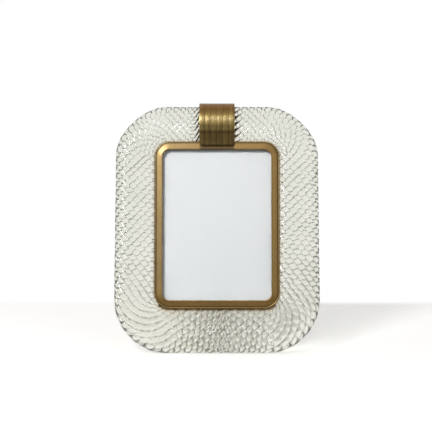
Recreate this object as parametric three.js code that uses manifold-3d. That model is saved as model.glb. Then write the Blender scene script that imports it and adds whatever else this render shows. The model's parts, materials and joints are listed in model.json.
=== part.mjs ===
// Picture frame of twisted glass rope round a brass bezel, standing on the rope and a hinged strut.
// All lengths are in millimetres. The frame is drawn upright first: x runs to the right as seen from
// the front, z runs up from the lowest glass and y runs backwards. One group then leans it back.
import * as THREE from 'three';
import { mergeVertices } from 'three/addons/utils/BufferGeometryUtils.js';
import Module from 'manifold-3d';

// How the frame stands
const LEAN_DEG = 12;
const STAND_FLAT = 1.3;
const GAP = 0.3;

// Print and pane, and how far the bezel laps over them
const PANE_WIDTH = 127;
const PANE_HEIGHT = 178;
const LAP_AT_SIDES = 2.2;
const LAP_AT_ENDS = 4;
const OPENING_RADIUS = 8.5;

// Brass bezel: moulding with a face that falls away outwards to a bead, rebate wall behind it
const MOULDING_WIDTH = 9.1;
const MOULDING_RISE = 2.7;
const MOULDING_BACK_Y = -9.9;
const LIP_WIDTH = 0.9;
const FACE_FALL = 1.35;
const BEAD_WIDTH = 1.5;
const BEAD_RISE = 0.5;
const REBATE_FACE_Y = -9.3;
const REBATE_RADIUS = 16;
const WALL_THICKNESS = 1.25;
const WALL_RADIUS = 11.5;
const CASTING_OVERLAP = 0.3;

// Twisted glass rope
const ROPE_BOTTOM_WIDTH = 53.7;
const ROPE_TOP_WIDTH = 44.5;
const ROPE_CORNER_RADIUS = 34;
const ROPE_TO_WALL = 0.6;
const ROPE_SIDE_INNER = 25.4;
const ROPE_SIDE_OUTER = 25;
const ROPE_TAPER = 1.2;
const ROPE_CORNER_INNER = 1.2;
const ROPE_TOP_CORNER_OUTER = -2.4;
const ROPE_BOTTOM_CORNER_OUTER = -0.5;
const ROPE_FRONT_SHARE = 0.6;
const ROPE_BACK_SHARE = 0.38;
const ROPE_SQUARENESS = 2.15;
const ROPE_END_GAP = 3;
const RIBS = 14;
const RIB_HEIGHT = 1.3;
const RIB_PITCH_BOTTOM = 12.4;
const RIB_PITCH_TOP = 8.2;
const POINTS_PER_RIB = 3;
const ROPE_STATIONS = 96;

// Reeded brass collar over the joint of the rope
const COLLAR_WIDTH = 40;
const COLLAR_LAP = 4.6;
const COLLAR_FLARE = 0.4;
const COLLAR_THICKNESS = 2;
const COLLAR_CORNER_RADIUS = 4.5;
const REEDS = 6;
const REED_HEIGHT = 0.45;
const COLLAR_START_SHARE = 0.77;
const COLLAR_END_SHARE = 1.23;
const COLLAR_WRAP_STEPS = 14;
const LINER_THICKNESS = 1.2;
const LINER_WIDTH = 38;

// Rear rim that closes round the rope from behind
const RIM_THICKNESS = 1.5;
const RIM_FRONT_Y = 6.4;
const RIM_RADIUS = 17.6;
const RIM_HOLE_RADIUS = 18;
const RIM_STEP = 0.15;

// Sheets held in the rebate, from front to back
const PANE_THICKNESS = 2;
const CARD_THICKNESS = 1;
const BOARD_THICKNESS = 7;
const SHEET_PLAY = 0.5;
const SHEET_CORNER_RADIUS = 16.5;
const PANEL_PLAY = 0.65;
const PANEL_CORNER_RADIUS = 17.6;

// Turn buttons on the rim
const BUTTON_THICKNESS = 1;
const BUTTON_LENGTH = 16;
const BUTTON_PIVOT_RADIUS = 2.9;
const BUTTON_TIP_RADIUS = 2.2;
const BUTTON_HOLE_RADIUS = 1.5;
const BUTTON_RISE_Z = 52;
const PIVOT_SHANK_RADIUS = 1.2;
const PIVOT_HEAD_RADIUS = 2.2;
const PIVOT_HEAD_HEIGHT = 0.8;

// Slotted screws
const SCREW_SHANK_RADIUS = 0.9;
const SCREW_HOLE_RADIUS = 1.05;
const SCREW_HEAD_RADIUS = 1.8;
const SCREW_HEAD_HEIGHT = 1.1;
const SLOT_WIDTH = 0.5;
const SLOT_DEPTH = 0.45;
const RIM_SCREW_LENGTH = 6;
const COLLAR_SCREW_LENGTH = 4.6;
const HINGE_SCREW_LENGTH = 5;
const HOLE_EXTRA_DEPTH = 0.6;

// Hinge of the strut
const HINGE_RISE = 55.2;
const HINGE_PLATE_WIDTH = 36;
const HINGE_PLATE_HEIGHT = 30;
const HINGE_PLATE_THICKNESS = 1.2;
const HINGE_PLATE_RADIUS = 4;
const HINGE_PLATE_DROP = 1.5;
const HINGE_AXIS_LIFT = 3.4;
const LUG_RADIUS = 3.2;
const LUG_WIDTH = 4.5;
const LUG_HOLE_RADIUS = 1.6;
const LUG_TO_LEG = 0.5;
const HINGE_SCREW_X = 13.8;
const HINGE_SCREW_RISE = 9.5;
const PIN_RADIUS = 1.4;
const PIN_LENGTH = 28.4;

// Strut leg and its shoe
const STRUT_LEAN_DEG = 12;
const LEG_TOP_WIDTH = 16;
const LEG_FOOT_WIDTH = 20;
const LEG_THICKNESS = 2;
const LEG_KNUCKLE_RADIUS = 3;
const LEG_HOLE_RADIUS = 1.7;
const HEEL_LENGTH = 5.5;
const FOLD_HEIGHT = 3;
const FOLD_THICKNESS = 1.4;
const FOLD_START = 10;
const SHOE_WIDTH = 23;
const SHOE_DEPTH = 6;
const SHOE_HEIGHT = 10;
const SHOE_GRIP = 6;
const SHOE_RADIUS = 1.6;

// Fineness of the round shapes
const CORNER_STEPS = 7;
const ROUND_STEPS = 16;
const SMALL_ROUND_STEPS = 10;
const CUT_OVERSHOOT = 1;

// Values that follow from the ones above
const lean = THREE.MathUtils.degToRad(LEAN_DEG);
const strutOpening = THREE.MathUtils.degToRad(LEAN_DEG + STRUT_LEAN_DEG);
const openingHalfWidth = PANE_WIDTH / 2 - LAP_AT_SIDES;
const openingHalfHeight = PANE_HEIGHT / 2 - LAP_AT_ENDS;
const mouldingHalfWidth = openingHalfWidth + MOULDING_WIDTH;
const mouldingHalfHeight = openingHalfHeight + MOULDING_WIDTH;
const rebateHalfWidth = (PANE_WIDTH + SHEET_PLAY) / 2;
const rebateHalfHeight = (PANE_HEIGHT + SHEET_PLAY) / 2;
const wallHalfWidth = rebateHalfWidth + WALL_THICKNESS;
const wallHalfHeight = rebateHalfHeight + WALL_THICKNESS;
const rimHoleHalfWidth = rebateHalfWidth + RIM_STEP;
const rimHoleHalfHeight = rebateHalfHeight + RIM_STEP;
const rimBackY = RIM_FRONT_Y + RIM_THICKNESS;
const paneFrontY = REBATE_FACE_Y + GAP;
const cardFrontY = paneFrontY + PANE_THICKNESS + GAP;
const boardFrontY = cardFrontY + CARD_THICKNESS + GAP;
const panelFrontY = boardFrontY + BOARD_THICKNESS + GAP;
const buttonFrontY = rimBackY + GAP;
const hingePlateFrontY = rimBackY + GAP;
const hingePlateBackY = hingePlateFrontY + HINGE_PLATE_THICKNESS;
const hingeY = hingePlateBackY + HINGE_AXIS_LIFT;
const bezelCentreZ = ROPE_BOTTOM_WIDTH + ROPE_TO_WALL + wallHalfHeight;
const bezelTopZ = bezelCentreZ + mouldingHalfHeight;
const topHalf = ROPE_TOP_WIDTH / 2;
const bottomHalf = ROPE_BOTTOM_WIDTH / 2;
const topCentreZ = bezelCentreZ + wallHalfHeight + ROPE_TO_WALL + topHalf;
const ropeTopZ = topCentreZ + topHalf;
const ropeCentreX = wallHalfWidth + ROPE_TO_WALL + ROPE_SIDE_INNER;
const collarFootZ = bezelTopZ - COLLAR_LAP;
const hingeZ = bezelCentreZ + HINGE_RISE;
const pivotX = (rimHoleHalfWidth + mouldingHalfWidth) / 2;
const rimScrewX = rimScrewOffset(rebateHalfWidth, wallHalfWidth);
const rimScrewZ = rimScrewOffset(rebateHalfHeight, wallHalfHeight);

const brass = { color: 0xa88346, roughness: 0.34, metalness: 1 };
const agedBrass = { color: 0x7a5c2c, roughness: 0.42, metalness: 1 };
const steel = { color: 0x8d8a84, roughness: 0.35, metalness: 1 };
const clearGlass = { color: 0xe4e8de, roughness: 0.05, metalness: 0 };
const paleCard = { color: 0xe3e8ea, roughness: 0.9, metalness: 0 };
const greyBoard = { color: 0x9b958a, roughness: 0.95, metalness: 0 };
const darkCloth = { color: 0x2c2622, roughness: 0.97, metalness: 0 };
const softPad = { color: 0x5a4a3a, roughness: 0.95, metalness: 0 };
const rubber = { color: 0xc9c3b4, roughness: 0.8, metalness: 0 };

const wasm = await Module();
wasm.setup();

// Middle of the brass between the rounded rebate corner and the wall corner, along the diagonal
function rimScrewOffset(rebateHalf, wallHalf) {
  const inside = rebateHalf - REBATE_RADIUS * (1 - Math.SQRT1_2);
  const outside = wallHalf - WALL_RADIUS * (1 - Math.SQRT1_2);
  return (inside + outside) / 2;
}

function toManifold(geometry) {
  const plain = geometry.clone();
  plain.deleteAttribute('normal');
  plain.deleteAttribute('uv');
  const merged = mergeVertices(plain.index ? plain.toNonIndexed() : plain, 1e-4);
  const mesh = new wasm.Mesh({
    numProp: 3,
    vertProperties: Float32Array.from(merged.attributes.position.array),
    triVerts: Uint32Array.from(merged.index.array),
  });
  return new wasm.Manifold(mesh);
}

function fromManifold(solid) {
  const mesh = solid.getMesh();
  const geometry = new THREE.BufferGeometry();
  geometry.setAttribute('position', new THREE.BufferAttribute(mesh.vertProperties, 3));
  geometry.setIndex(new THREE.BufferAttribute(mesh.triVerts, 1));
  return geometry;
}

function joined(geometries) {
  const solids = geometries.map(toManifold);
  return fromManifold(solids.reduce((whole, next) => whole.add(next)));
}

function cut(geometry, cutters) {
  const solids = cutters.map(toManifold);
  return fromManifold(solids.reduce((whole, next) => whole.subtract(next), toManifold(geometry)));
}

function named(name, geometry, look) {
  geometry.computeVertexNormals();
  const mesh = new THREE.Mesh(geometry, new THREE.MeshStandardMaterial(look));
  mesh.name = name;
  return mesh;
}

// Points of a rounded rectangle, clockwise from the top left corner as the front shows it
function roundedRectangle(halfWidth, halfHeight, radius, steps = CORNER_STEPS) {
  const points = [];
  const quarter = Math.PI / 2;
  const corners = [[-1, 1, 2], [1, 1, 1], [1, -1, 0], [-1, -1, -1]];
  for (const [sideX, sideZ, startQuarter] of corners) {
    for (let step = 0; step <= steps; step += 1) {
      const angle = quarter * (startQuarter - step / steps);
      const x = sideX * (halfWidth - radius) + radius * Math.cos(angle);
      const z = sideZ * (halfHeight - radius) + radius * Math.sin(angle);
      points.push(new THREE.Vector2(x, z));
    }
  }
  return points;
}

function circle(x, z, radius, steps = SMALL_ROUND_STEPS) {
  const points = [];
  for (let step = 0; step < steps; step += 1) {
    const angle = (2 * Math.PI * step) / steps;
    points.push(new THREE.Vector2(x + radius * Math.cos(angle), z + radius * Math.sin(angle)));
  }
  return points;
}

// Sheet with its outline in x and z, from frontY back by the thickness
function sheet(outline, holes, frontY, thickness) {
  const clockwise = THREE.ShapeUtils.isClockWise(outline);
  const shape = new THREE.Shape(clockwise ? outline.toReversed() : outline);
  shape.holes = holes.map((points) => new THREE.Path(points));
  const geometry = new THREE.ExtrudeGeometry(shape, { depth: thickness, bevelEnabled: false });
  geometry.rotateX(Math.PI / 2);
  geometry.translate(0, frontY + thickness, 0);
  return geometry;
}

// Cylinder along y
function rod(radius, frontY, length, x, z) {
  const geometry = new THREE.CylinderGeometry(radius, radius, length, SMALL_ROUND_STEPS);
  geometry.translate(x, frontY + length / 2, z);
  return geometry;
}

// Cylinder along x
function crossRod(radius, startX, length, y, z) {
  const geometry = new THREE.CylinderGeometry(radius, radius, length, ROUND_STEPS);
  geometry.rotateZ(Math.PI / 2);
  geometry.translate(startX + length / 2, y, z);
  return geometry;
}

function block(width, depth, height, x, y, z) {
  const geometry = new THREE.BoxGeometry(width, depth, height);
  geometry.translate(x, y, z);
  return geometry;
}

// Closed skin over rings of points that all have the same count. Ends are capped unless looped.
function skin(rings, looped) {
  const count = rings[0].length;
  const positions = rings.flat().flatMap((point) => [point.x, point.y, point.z]);
  const triangles = [];
  const last = looped ? rings.length : rings.length - 1;
  for (let ring = 0; ring < last; ring += 1) {
    const next = (ring + 1) % rings.length;
    for (let point = 0; point < count; point += 1) {
      const beside = (point + 1) % count;
      const here = ring * count + point;
      const hereBeside = ring * count + beside;
      const ahead = next * count + point;
      const aheadBeside = next * count + beside;
      triangles.push(here, ahead, hereBeside, hereBeside, ahead, aheadBeside);
    }
  }
  if (!looped) {
    capEnd(rings, 0, false, positions, triangles);
    capEnd(rings, rings.length - 1, true, positions, triangles);
  }
  const geometry = new THREE.BufferGeometry();
  geometry.setAttribute('position', new THREE.Float32BufferAttribute(positions, 3));
  geometry.setIndex(triangles);
  return outward(geometry);
}

function capEnd(rings, ring, flipped, positions, triangles) {
  const count = rings[0].length;
  const middle = new THREE.Vector3();
  rings[ring].forEach((point) => middle.add(point));
  middle.divideScalar(count);
  const centre = positions.length / 3;
  positions.push(middle.x, middle.y, middle.z);
  for (let point = 0; point < count; point += 1) {
    const here = ring * count + point;
    const beside = ring * count + ((point + 1) % count);
    triangles.push(centre, flipped ? beside : here, flipped ? here : beside);
  }
}

// Turns the triangles over if they face inwards
function outward(geometry) {
  const position = geometry.attributes.position;
  const index = geometry.index;
  const a = new THREE.Vector3();
  const b = new THREE.Vector3();
  const c = new THREE.Vector3();
  let volume = 0;
  for (let corner = 0; corner < index.count; corner += 3) {
    a.fromBufferAttribute(position, index.getX(corner));
    b.fromBufferAttribute(position, index.getX(corner + 1));
    c.fromBufferAttribute(position, index.getX(corner + 2));
    volume += a.dot(b.cross(c));
  }
  if (volume < 0) {
    const turned = Array.from(index.array).reverse();
    geometry.setIndex(turned);
  }
  return geometry;
}

// Outline of the rope's section for a half width of one: [outwards, backwards]
function ovalPoint(angle) {
  const cosine = Math.cos(angle);
  const sine = Math.sin(angle);
  const power = 2 / ROPE_SQUARENESS;
  const across = Math.sign(cosine) * Math.abs(cosine) ** power;
  const depth = Math.abs(sine) ** power;
  return [across, sine > 0 ? ROPE_BACK_SHARE * depth : -ROPE_FRONT_SHARE * depth];
}

// Table of the section's points with the share of the way round that each lies at
function ovalTable() {
  const samples = 1440;
  const table = [{ share: 0, point: ovalPoint(0) }];
  let length = 0;
  for (let sample = 1; sample <= samples; sample += 1) {
    const point = ovalPoint((2 * Math.PI * sample) / samples);
    const before = table[sample - 1].point;
    length += Math.hypot(point[0] - before[0], point[1] - before[1]);
    table.push({ share: length, point });
  }
  table.forEach((entry) => {
    entry.share /= length;
  });
  return table;
}

const oval = ovalTable();

// Point of the section at a share of the way round
function ovalAt(share) {
  const wrapped = share - Math.floor(share);
  let low = 0;
  let high = oval.length - 1;
  while (high - low > 1) {
    const middle = (low + high) >> 1;
    if (oval[middle].share <= wrapped) {
      low = middle;
    } else {
      high = middle;
    }
  }
  const from = oval[low];
  const to = oval[high];
  const part = (wrapped - from.share) / (to.share - from.share);
  return [0, 1].map((axis) => from.point[axis] + part * (to.point[axis] - from.point[axis]));
}

function ovalNormal(share) {
  const before = ovalAt(share - 0.002);
  const after = ovalAt(share + 0.002);
  const length = Math.hypot(after[0] - before[0], after[1] - before[1]);
  return [(after[1] - before[1]) / length, -(after[0] - before[0]) / length];
}

// Middle line of the rope as fine points, clockwise from the middle of the top
function ropeLine() {
  const halfHeight = (topCentreZ - bottomHalf) / 2;
  const middleZ = (topCentreZ + bottomHalf) / 2;
  const straightX = ropeCentreX - ROPE_CORNER_RADIUS;
  const straightZ = halfHeight - ROPE_CORNER_RADIUS;
  const pieces = [
    { to: [straightX, halfHeight], normalDeg: 90 },
    { corner: [straightX, straightZ], normalDeg: 90 },
    { to: [ropeCentreX, -straightZ], normalDeg: 0 },
    { corner: [straightX, -straightZ], normalDeg: 0 },
    { to: [-straightX, -halfHeight], normalDeg: -90 },
    { corner: [-straightX, -straightZ], normalDeg: -90 },
    { to: [-ropeCentreX, straightZ], normalDeg: 180 },
    { corner: [-straightX, straightZ], normalDeg: 180 },
    { to: [0, halfHeight], normalDeg: 90 },
  ];
  const line = [{ x: 0, z: halfHeight + middleZ, normal: Math.PI / 2, along: 0 }];
  const addPoint = (x, z, normal) => {
    const before = line[line.length - 1];
    const along = before.along + Math.hypot(x - before.x, z + middleZ - before.z);
    line.push({ x, z: z + middleZ, normal, along });
  };
  const fine = 120;
  for (const piece of pieces) {
    const start = line[line.length - 1];
    const normal = THREE.MathUtils.degToRad(piece.normalDeg);
    for (let step = 1; step <= fine; step += 1) {
      const part = step / fine;
      if (piece.corner) {
        const angle = normal - (Math.PI / 2) * part;
        const x = piece.corner[0] + ROPE_CORNER_RADIUS * Math.cos(angle);
        const z = piece.corner[1] + ROPE_CORNER_RADIUS * Math.sin(angle);
        addPoint(x, z, angle);
      } else {
        const x = start.x + part * (piece.to[0] - start.x);
        const z = start.z - middleZ + part * (piece.to[1] - start.z + middleZ);
        addPoint(x, z, normal);
      }
    }
  }
  return line;
}

// Reach of the rope inwards and outwards of its middle line, and its rib pitch, for a direction
function ropeReach(normal, z) {
  const sideways = Math.cos(normal) ** 2;
  const upright = Math.sin(normal) ** 2;
  const above = Math.sin(normal) > 0;
  const diagonal = Math.sin(2 * normal) ** 2;
  const endHalf = above ? topHalf : bottomHalf;
  const sideOuter = ROPE_SIDE_OUTER + ROPE_TAPER * (1 - (2 * z) / ropeTopZ);
  const cornerOuter = above ? ROPE_TOP_CORNER_OUTER : ROPE_BOTTOM_CORNER_OUTER;
  const inner = sideways * ROPE_SIDE_INNER + upright * endHalf + diagonal * ROPE_CORNER_INNER;
  const outer = sideways * sideOuter + upright * endHalf + diagonal * cornerOuter;
  const pitch = RIB_PITCH_BOTTOM + (RIB_PITCH_TOP - RIB_PITCH_BOTTOM) * (z / ropeTopZ);
  return { inner, outer, pitch };
}

// Stations of the rope at equal steps of twist, with the turn reached at each
function ropeStations() {
  const line = ropeLine();
  const end = line[line.length - 1].along - ROPE_END_GAP / 2;
  const kept = line.filter((point) => point.along > ROPE_END_GAP / 2 && point.along < end);
  let turn = 0;
  const twisted = kept.map((point, place) => {
    const reach = ropeReach(point.normal, point.z);
    if (place > 0) {
      turn += (point.along - kept[place - 1].along) / (reach.pitch * RIBS);
    }
    return { ...point, ...reach, turn };
  });
  const stations = [];
  let place = 0;
  for (let station = 0; station <= ROPE_STATIONS; station += 1) {
    const wanted = (turn * station) / ROPE_STATIONS;
    while (place < twisted.length - 2 && twisted[place + 1].turn < wanted) {
      place += 1;
    }
    const from = twisted[place];
    const to = twisted[place + 1];
    const part = (wanted - from.turn) / (to.turn - from.turn);
    const blend = (name) => from[name] + part * (to[name] - from[name]);
    const names = ['x', 'z', 'inner', 'outer', 'turn'];
    const values = Object.fromEntries(names.map((name) => [name, blend(name)]));
    const jump = Math.round((to.normal - from.normal) / (2 * Math.PI)) * 2 * Math.PI;
    stations.push({ ...values, normal: from.normal + part * (to.normal - from.normal - jump) });
  }
  return stations;
}

// Height of the rope's surface between two grooves, from 0 in the groove to 1 on the crest
function ribProfile(part) {
  return Math.abs(Math.sin(Math.PI * part));
}

function glassRing() {
  const points = RIBS * POINTS_PER_RIB;
  const rings = ropeStations().map((station) => {
    const half = (station.inner + station.outer) / 2;
    const shift = (station.outer - station.inner) / 2;
    const outX = Math.cos(station.normal);
    const outZ = Math.sin(station.normal);
    const ring = [];
    for (let point = 0; point < points; point += 1) {
      const share = point / points + station.turn;
      const sink = RIB_HEIGHT * (1 - ribProfile(point / POINTS_PER_RIB));
      const place = ovalAt(share);
      const normal = ovalNormal(share);
      const out = shift + half * place[0] - sink * normal[0];
      const back = half * place[1] - sink * normal[1];
      ring.push(new THREE.Vector3(station.x + out * outX, back, station.z + out * outZ));
    }
    return ring;
  });
  const reach = 4 * ropeCentreX;
  const floor = block(reach, reach, reach, 0, 0, standHeight() - reach / 2);
  floor.rotateX(lean);
  return named('glass_ring', cut(skin(rings, false), [floor]), clearGlass);
}

// Height of the table over the drawing's origin once the frame leans: the rope's lowest point is cut flat
function standHeight() {
  let lowest = Infinity;
  for (const { point } of oval) {
    const z = bottomHalf + bottomHalf * point[0];
    const y = bottomHalf * point[1];
    lowest = Math.min(lowest, z * Math.cos(lean) - y * Math.sin(lean));
  }
  return lowest + STAND_FLAT;
}

// Height of the moulding's falling face over its back, at a distance out from the opening
function faceRise(out) {
  const faceWidth = MOULDING_WIDTH - BEAD_WIDTH - LIP_WIDTH;
  return MOULDING_RISE - (FACE_FALL * (out - LIP_WIDTH)) / faceWidth;
}

// Outline of the moulding as [out from the opening, y]: rounded lip, falling face, bead at the edge
function mouldingProfile() {
  const steps = 4;
  const faceEnd = MOULDING_WIDTH - BEAD_WIDTH;
  const beadRadius = BEAD_WIDTH / 2;
  const beadTop = faceRise(faceEnd) + BEAD_RISE;
  const points = [[0, 0]];
  for (let step = 0; step <= steps; step += 1) {
    const angle = (Math.PI * step) / (2 * steps);
    points.push([
      LIP_WIDTH * (1 - Math.cos(angle)),
      MOULDING_RISE - LIP_WIDTH * (1 - Math.sin(angle)),
    ]);
  }
  points.push([faceEnd, faceRise(faceEnd)]);
  for (let step = 1; step <= 2 * steps; step += 1) {
    const angle = (Math.PI * step) / (2 * steps);
    const height = step < steps ? BEAD_RISE : beadRadius;
    points.push([
      faceEnd + beadRadius * (1 - Math.cos(angle)),
      beadTop - height * (1 - Math.sin(angle)),
    ]);
  }
  points.push([MOULDING_WIDTH, 0]);
  return points.map(([out, rise]) => [out, MOULDING_BACK_Y - rise]);
}

function mouldingRing() {
  const inner = roundedRectangle(openingHalfWidth, openingHalfHeight, OPENING_RADIUS);
  const straightX = openingHalfWidth - OPENING_RADIUS;
  const straightZ = openingHalfHeight - OPENING_RADIUS;
  const profile = mouldingProfile();
  const rings = inner.map((point) => {
    const centre = new THREE.Vector2(Math.sign(point.x) * straightX, Math.sign(point.y) * straightZ);
    const direction = point.clone().sub(centre).divideScalar(OPENING_RADIUS);
    return profile.map(([out, y]) => {
      const place = point.clone().addScaledVector(direction, out);
      return new THREE.Vector3(place.x, y, place.y + bezelCentreZ);
    });
  });
  return skin(rings, true);
}

function raised(geometry) {
  geometry.translate(0, 0, bezelCentreZ);
  return geometry;
}

function rimScrewPlaces() {
  const sides = [[-1, 1], [1, 1], [1, -1], [-1, -1]];
  return sides.map(([sideX, sideZ]) => [sideX * rimScrewX, sideZ * rimScrewZ]);
}

function bezel() {
  const opening = roundedRectangle(openingHalfWidth, openingHalfHeight, OPENING_RADIUS);
  const wallOutline = roundedRectangle(wallHalfWidth, wallHalfHeight, WALL_RADIUS);
  const rebate = roundedRectangle(rebateHalfWidth, rebateHalfHeight, REBATE_RADIUS);
  const ledgeFront = MOULDING_BACK_Y - CASTING_OVERLAP;
  const ledge = sheet(wallOutline, [opening], ledgeFront, REBATE_FACE_Y - ledgeFront);
  const wallFront = REBATE_FACE_Y - CASTING_OVERLAP;
  const wallBack = RIM_FRONT_Y - GAP;
  const wall = sheet(wallOutline, [rebate], wallFront, wallBack - wallFront);
  const depth = RIM_SCREW_LENGTH + HOLE_EXTRA_DEPTH;
  const holes = rimScrewPlaces().map(([x, z]) => raised(
    rod(SCREW_HOLE_RADIUS, rimBackY - depth, depth + CUT_OVERSHOOT, x, z),
  ));
  return named('bezel', cut(joined([mouldingRing(), raised(ledge), raised(wall)]), holes), brass);
}

function pivotPlaces() {
  const sides = [[-1, 1], [1, 1], [1, -1], [-1, -1]];
  return sides.map(([sideX, sideZ]) => [sideX * pivotX, sideZ * BUTTON_RISE_Z]);
}

function collarScrewPlaces() {
  const z = (collarFootZ + bezelTopZ) / 2 - bezelCentreZ;
  return [[-COLLAR_WIDTH / 4, z], [COLLAR_WIDTH / 4, z]];
}

function rearRim() {
  const outline = roundedRectangle(mouldingHalfWidth, mouldingHalfHeight, RIM_RADIUS);
  const hole = roundedRectangle(rimHoleHalfWidth, rimHoleHalfHeight, RIM_HOLE_RADIUS);
  const bores = [
    ...rimScrewPlaces().map(([x, z]) => circle(x, z, SCREW_HOLE_RADIUS)),
    ...collarScrewPlaces().map(([x, z]) => circle(x, z, SCREW_HOLE_RADIUS)),
    ...pivotPlaces().map(([x, z]) => circle(x, z, BUTTON_HOLE_RADIUS)),
  ];
  return named('rear_rim', raised(sheet(outline, [hole, ...bores], RIM_FRONT_Y, RIM_THICKNESS)), brass);
}

function heldSheet(name, frontY, thickness, look) {
  const outline = roundedRectangle(PANE_WIDTH / 2, PANE_HEIGHT / 2, SHEET_CORNER_RADIUS);
  return named(name, raised(sheet(outline, [], frontY, thickness)), look);
}

function hingeScrewPlaces() {
  const z = hingeZ - HINGE_PLATE_DROP;
  const sides = [[-1, 1], [1, 1], [1, -1], [-1, -1]];
  return sides.map(([sideX, sideZ]) => [sideX * HINGE_SCREW_X, z + sideZ * HINGE_SCREW_RISE]);
}

function rearPanel() {
  const halfWidth = rimHoleHalfWidth - PANEL_PLAY;
  const halfHeight = rimHoleHalfHeight - PANEL_PLAY;
  const outline = roundedRectangle(halfWidth, halfHeight, PANEL_CORNER_RADIUS);
  const panel = raised(sheet(outline, [], panelFrontY, rimBackY - panelFrontY));
  const depth = HINGE_SCREW_LENGTH + HOLE_EXTRA_DEPTH - HINGE_PLATE_THICKNESS;
  const holes = hingeScrewPlaces().map(([x, z]) => (
    rod(SCREW_HOLE_RADIUS, rimBackY - depth, depth + CUT_OVERSHOOT, x, z)
  ));
  return named('rear_panel', cut(panel, holes), darkCloth);
}

// Slotted pan-head screw along y, with the underside of its head at seatY
function screw(name, x, z, seatY, length, look) {
  const profile = [
    new THREE.Vector2(0, -length),
    new THREE.Vector2(SCREW_SHANK_RADIUS * 0.5, -length),
    new THREE.Vector2(SCREW_SHANK_RADIUS, -length + SCREW_SHANK_RADIUS * 0.5),
    new THREE.Vector2(SCREW_SHANK_RADIUS, 0),
    new THREE.Vector2(SCREW_HEAD_RADIUS, 0),
    new THREE.Vector2(SCREW_HEAD_RADIUS, SCREW_HEAD_HEIGHT * 0.5),
    new THREE.Vector2(SCREW_HEAD_RADIUS * 0.7, SCREW_HEAD_HEIGHT),
    new THREE.Vector2(0, SCREW_HEAD_HEIGHT),
  ];
  const body = new THREE.LatheGeometry(profile, SMALL_ROUND_STEPS);
  const slotHeight = SLOT_DEPTH + CUT_OVERSHOOT;
  const slotMiddle = SCREW_HEAD_HEIGHT - SLOT_DEPTH + slotHeight / 2;
  const slot = block(4 * SCREW_HEAD_RADIUS, slotHeight, SLOT_WIDTH, 0, slotMiddle, 0);
  const geometry = cut(body, [slot]);
  geometry.rotateY((x + z) % Math.PI);
  geometry.translate(x, seatY, z);
  return named(name, geometry, look);
}

function pivotStud(name, x, z) {
  const seatY = buttonFrontY + BUTTON_THICKNESS + GAP;
  const shankFront = RIM_FRONT_Y - GAP;
  const profile = [
    new THREE.Vector2(0, shankFront),
    new THREE.Vector2(PIVOT_SHANK_RADIUS, shankFront),
    new THREE.Vector2(PIVOT_SHANK_RADIUS, seatY),
    new THREE.Vector2(PIVOT_HEAD_RADIUS, seatY),
    new THREE.Vector2(PIVOT_HEAD_RADIUS * 0.8, seatY + PIVOT_HEAD_HEIGHT * 0.7),
    new THREE.Vector2(PIVOT_HEAD_RADIUS * 0.4, seatY + PIVOT_HEAD_HEIGHT),
    new THREE.Vector2(0, seatY + PIVOT_HEAD_HEIGHT),
  ];
  const geometry = new THREE.LatheGeometry(profile, SMALL_ROUND_STEPS);
  geometry.translate(x, 0, z + bezelCentreZ);
  return named(name, geometry, steel);
}

// Turn button that points inwards over the panel, drawn round its own pivot
function turnButton(name, x, z) {
  const inward = -Math.sign(x);
  const reach = BUTTON_LENGTH;
  const outline = [];
  const steps = 8;
  for (let step = 0; step <= steps; step += 1) {
    const angle = Math.PI / 2 + (Math.PI * step) / steps;
    outline.push(new THREE.Vector2(Math.cos(angle), Math.sin(angle)).multiplyScalar(BUTTON_PIVOT_RADIUS));
  }
  for (let step = 0; step <= steps; step += 1) {
    const angle = -Math.PI / 2 + (Math.PI * step) / steps;
    const tip = new THREE.Vector2(Math.cos(angle), Math.sin(angle)).multiplyScalar(BUTTON_TIP_RADIUS);
    outline.push(tip.add(new THREE.Vector2(reach, 0)));
  }
  const geometry = sheet(outline, [circle(0, 0, BUTTON_HOLE_RADIUS)], 0, BUTTON_THICKNESS);
  if (inward < 0) {
    geometry.rotateY(Math.PI);
  }
  const button = named(name, geometry, brass);
  button.position.set(x, buttonFrontY, z + bezelCentreZ);
  return button;
}

// Inner line of the collar as [y, z]: from the bezel's front, over the rope, to the rear rim
function collarLine() {
  const lift = 2 * GAP + LINER_THICKNESS;
  const frontY = MOULDING_BACK_Y - faceRise(MOULDING_WIDTH - COLLAR_LAP) - GAP;
  const backY = rimBackY + GAP;
  return [
    [frontY, collarFootZ],
    [frontY - COLLAR_FLARE, bezelTopZ],
    ...ropeWrap(lift, COLLAR_START_SHARE, COLLAR_END_SHARE, COLLAR_WRAP_STEPS),
    [backY + COLLAR_FLARE / 2, bezelTopZ + COLLAR_FLARE],
    [backY, bezelTopZ - COLLAR_FLARE],
    [backY, collarFootZ],
  ];
}

// Line round the top run of the rope, lifted off it, between two shares of the way round
function ropeWrap(lift, from, to, steps) {
  const line = [];
  for (let step = 0; step <= steps; step += 1) {
    const share = from + ((to - from) * step) / steps;
    const place = ovalAt(share);
    const normal = ovalNormal(share);
    const y = topHalf * place[1] + lift * normal[1];
    const z = topCentreZ + topHalf * place[0] + lift * normal[0];
    line.push([y, z]);
  }
  return line;
}

// Strip that follows a line in y and z, with its section as [x, out from the line]
function strip(line, section) {
  const rings = line.map(([y, z], place) => {
    const before = line[Math.max(place - 1, 0)];
    const after = line[Math.min(place + 1, line.length - 1)];
    const along = new THREE.Vector2(after[0] - before[0], after[1] - before[1]).normalize();
    const out = new THREE.Vector2(-along.y, along.x);
    return section.map(([x, height]) => (
      new THREE.Vector3(x, y + out.x * height, z + out.y * height)
    ));
  });
  return skin(rings, false);
}

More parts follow.
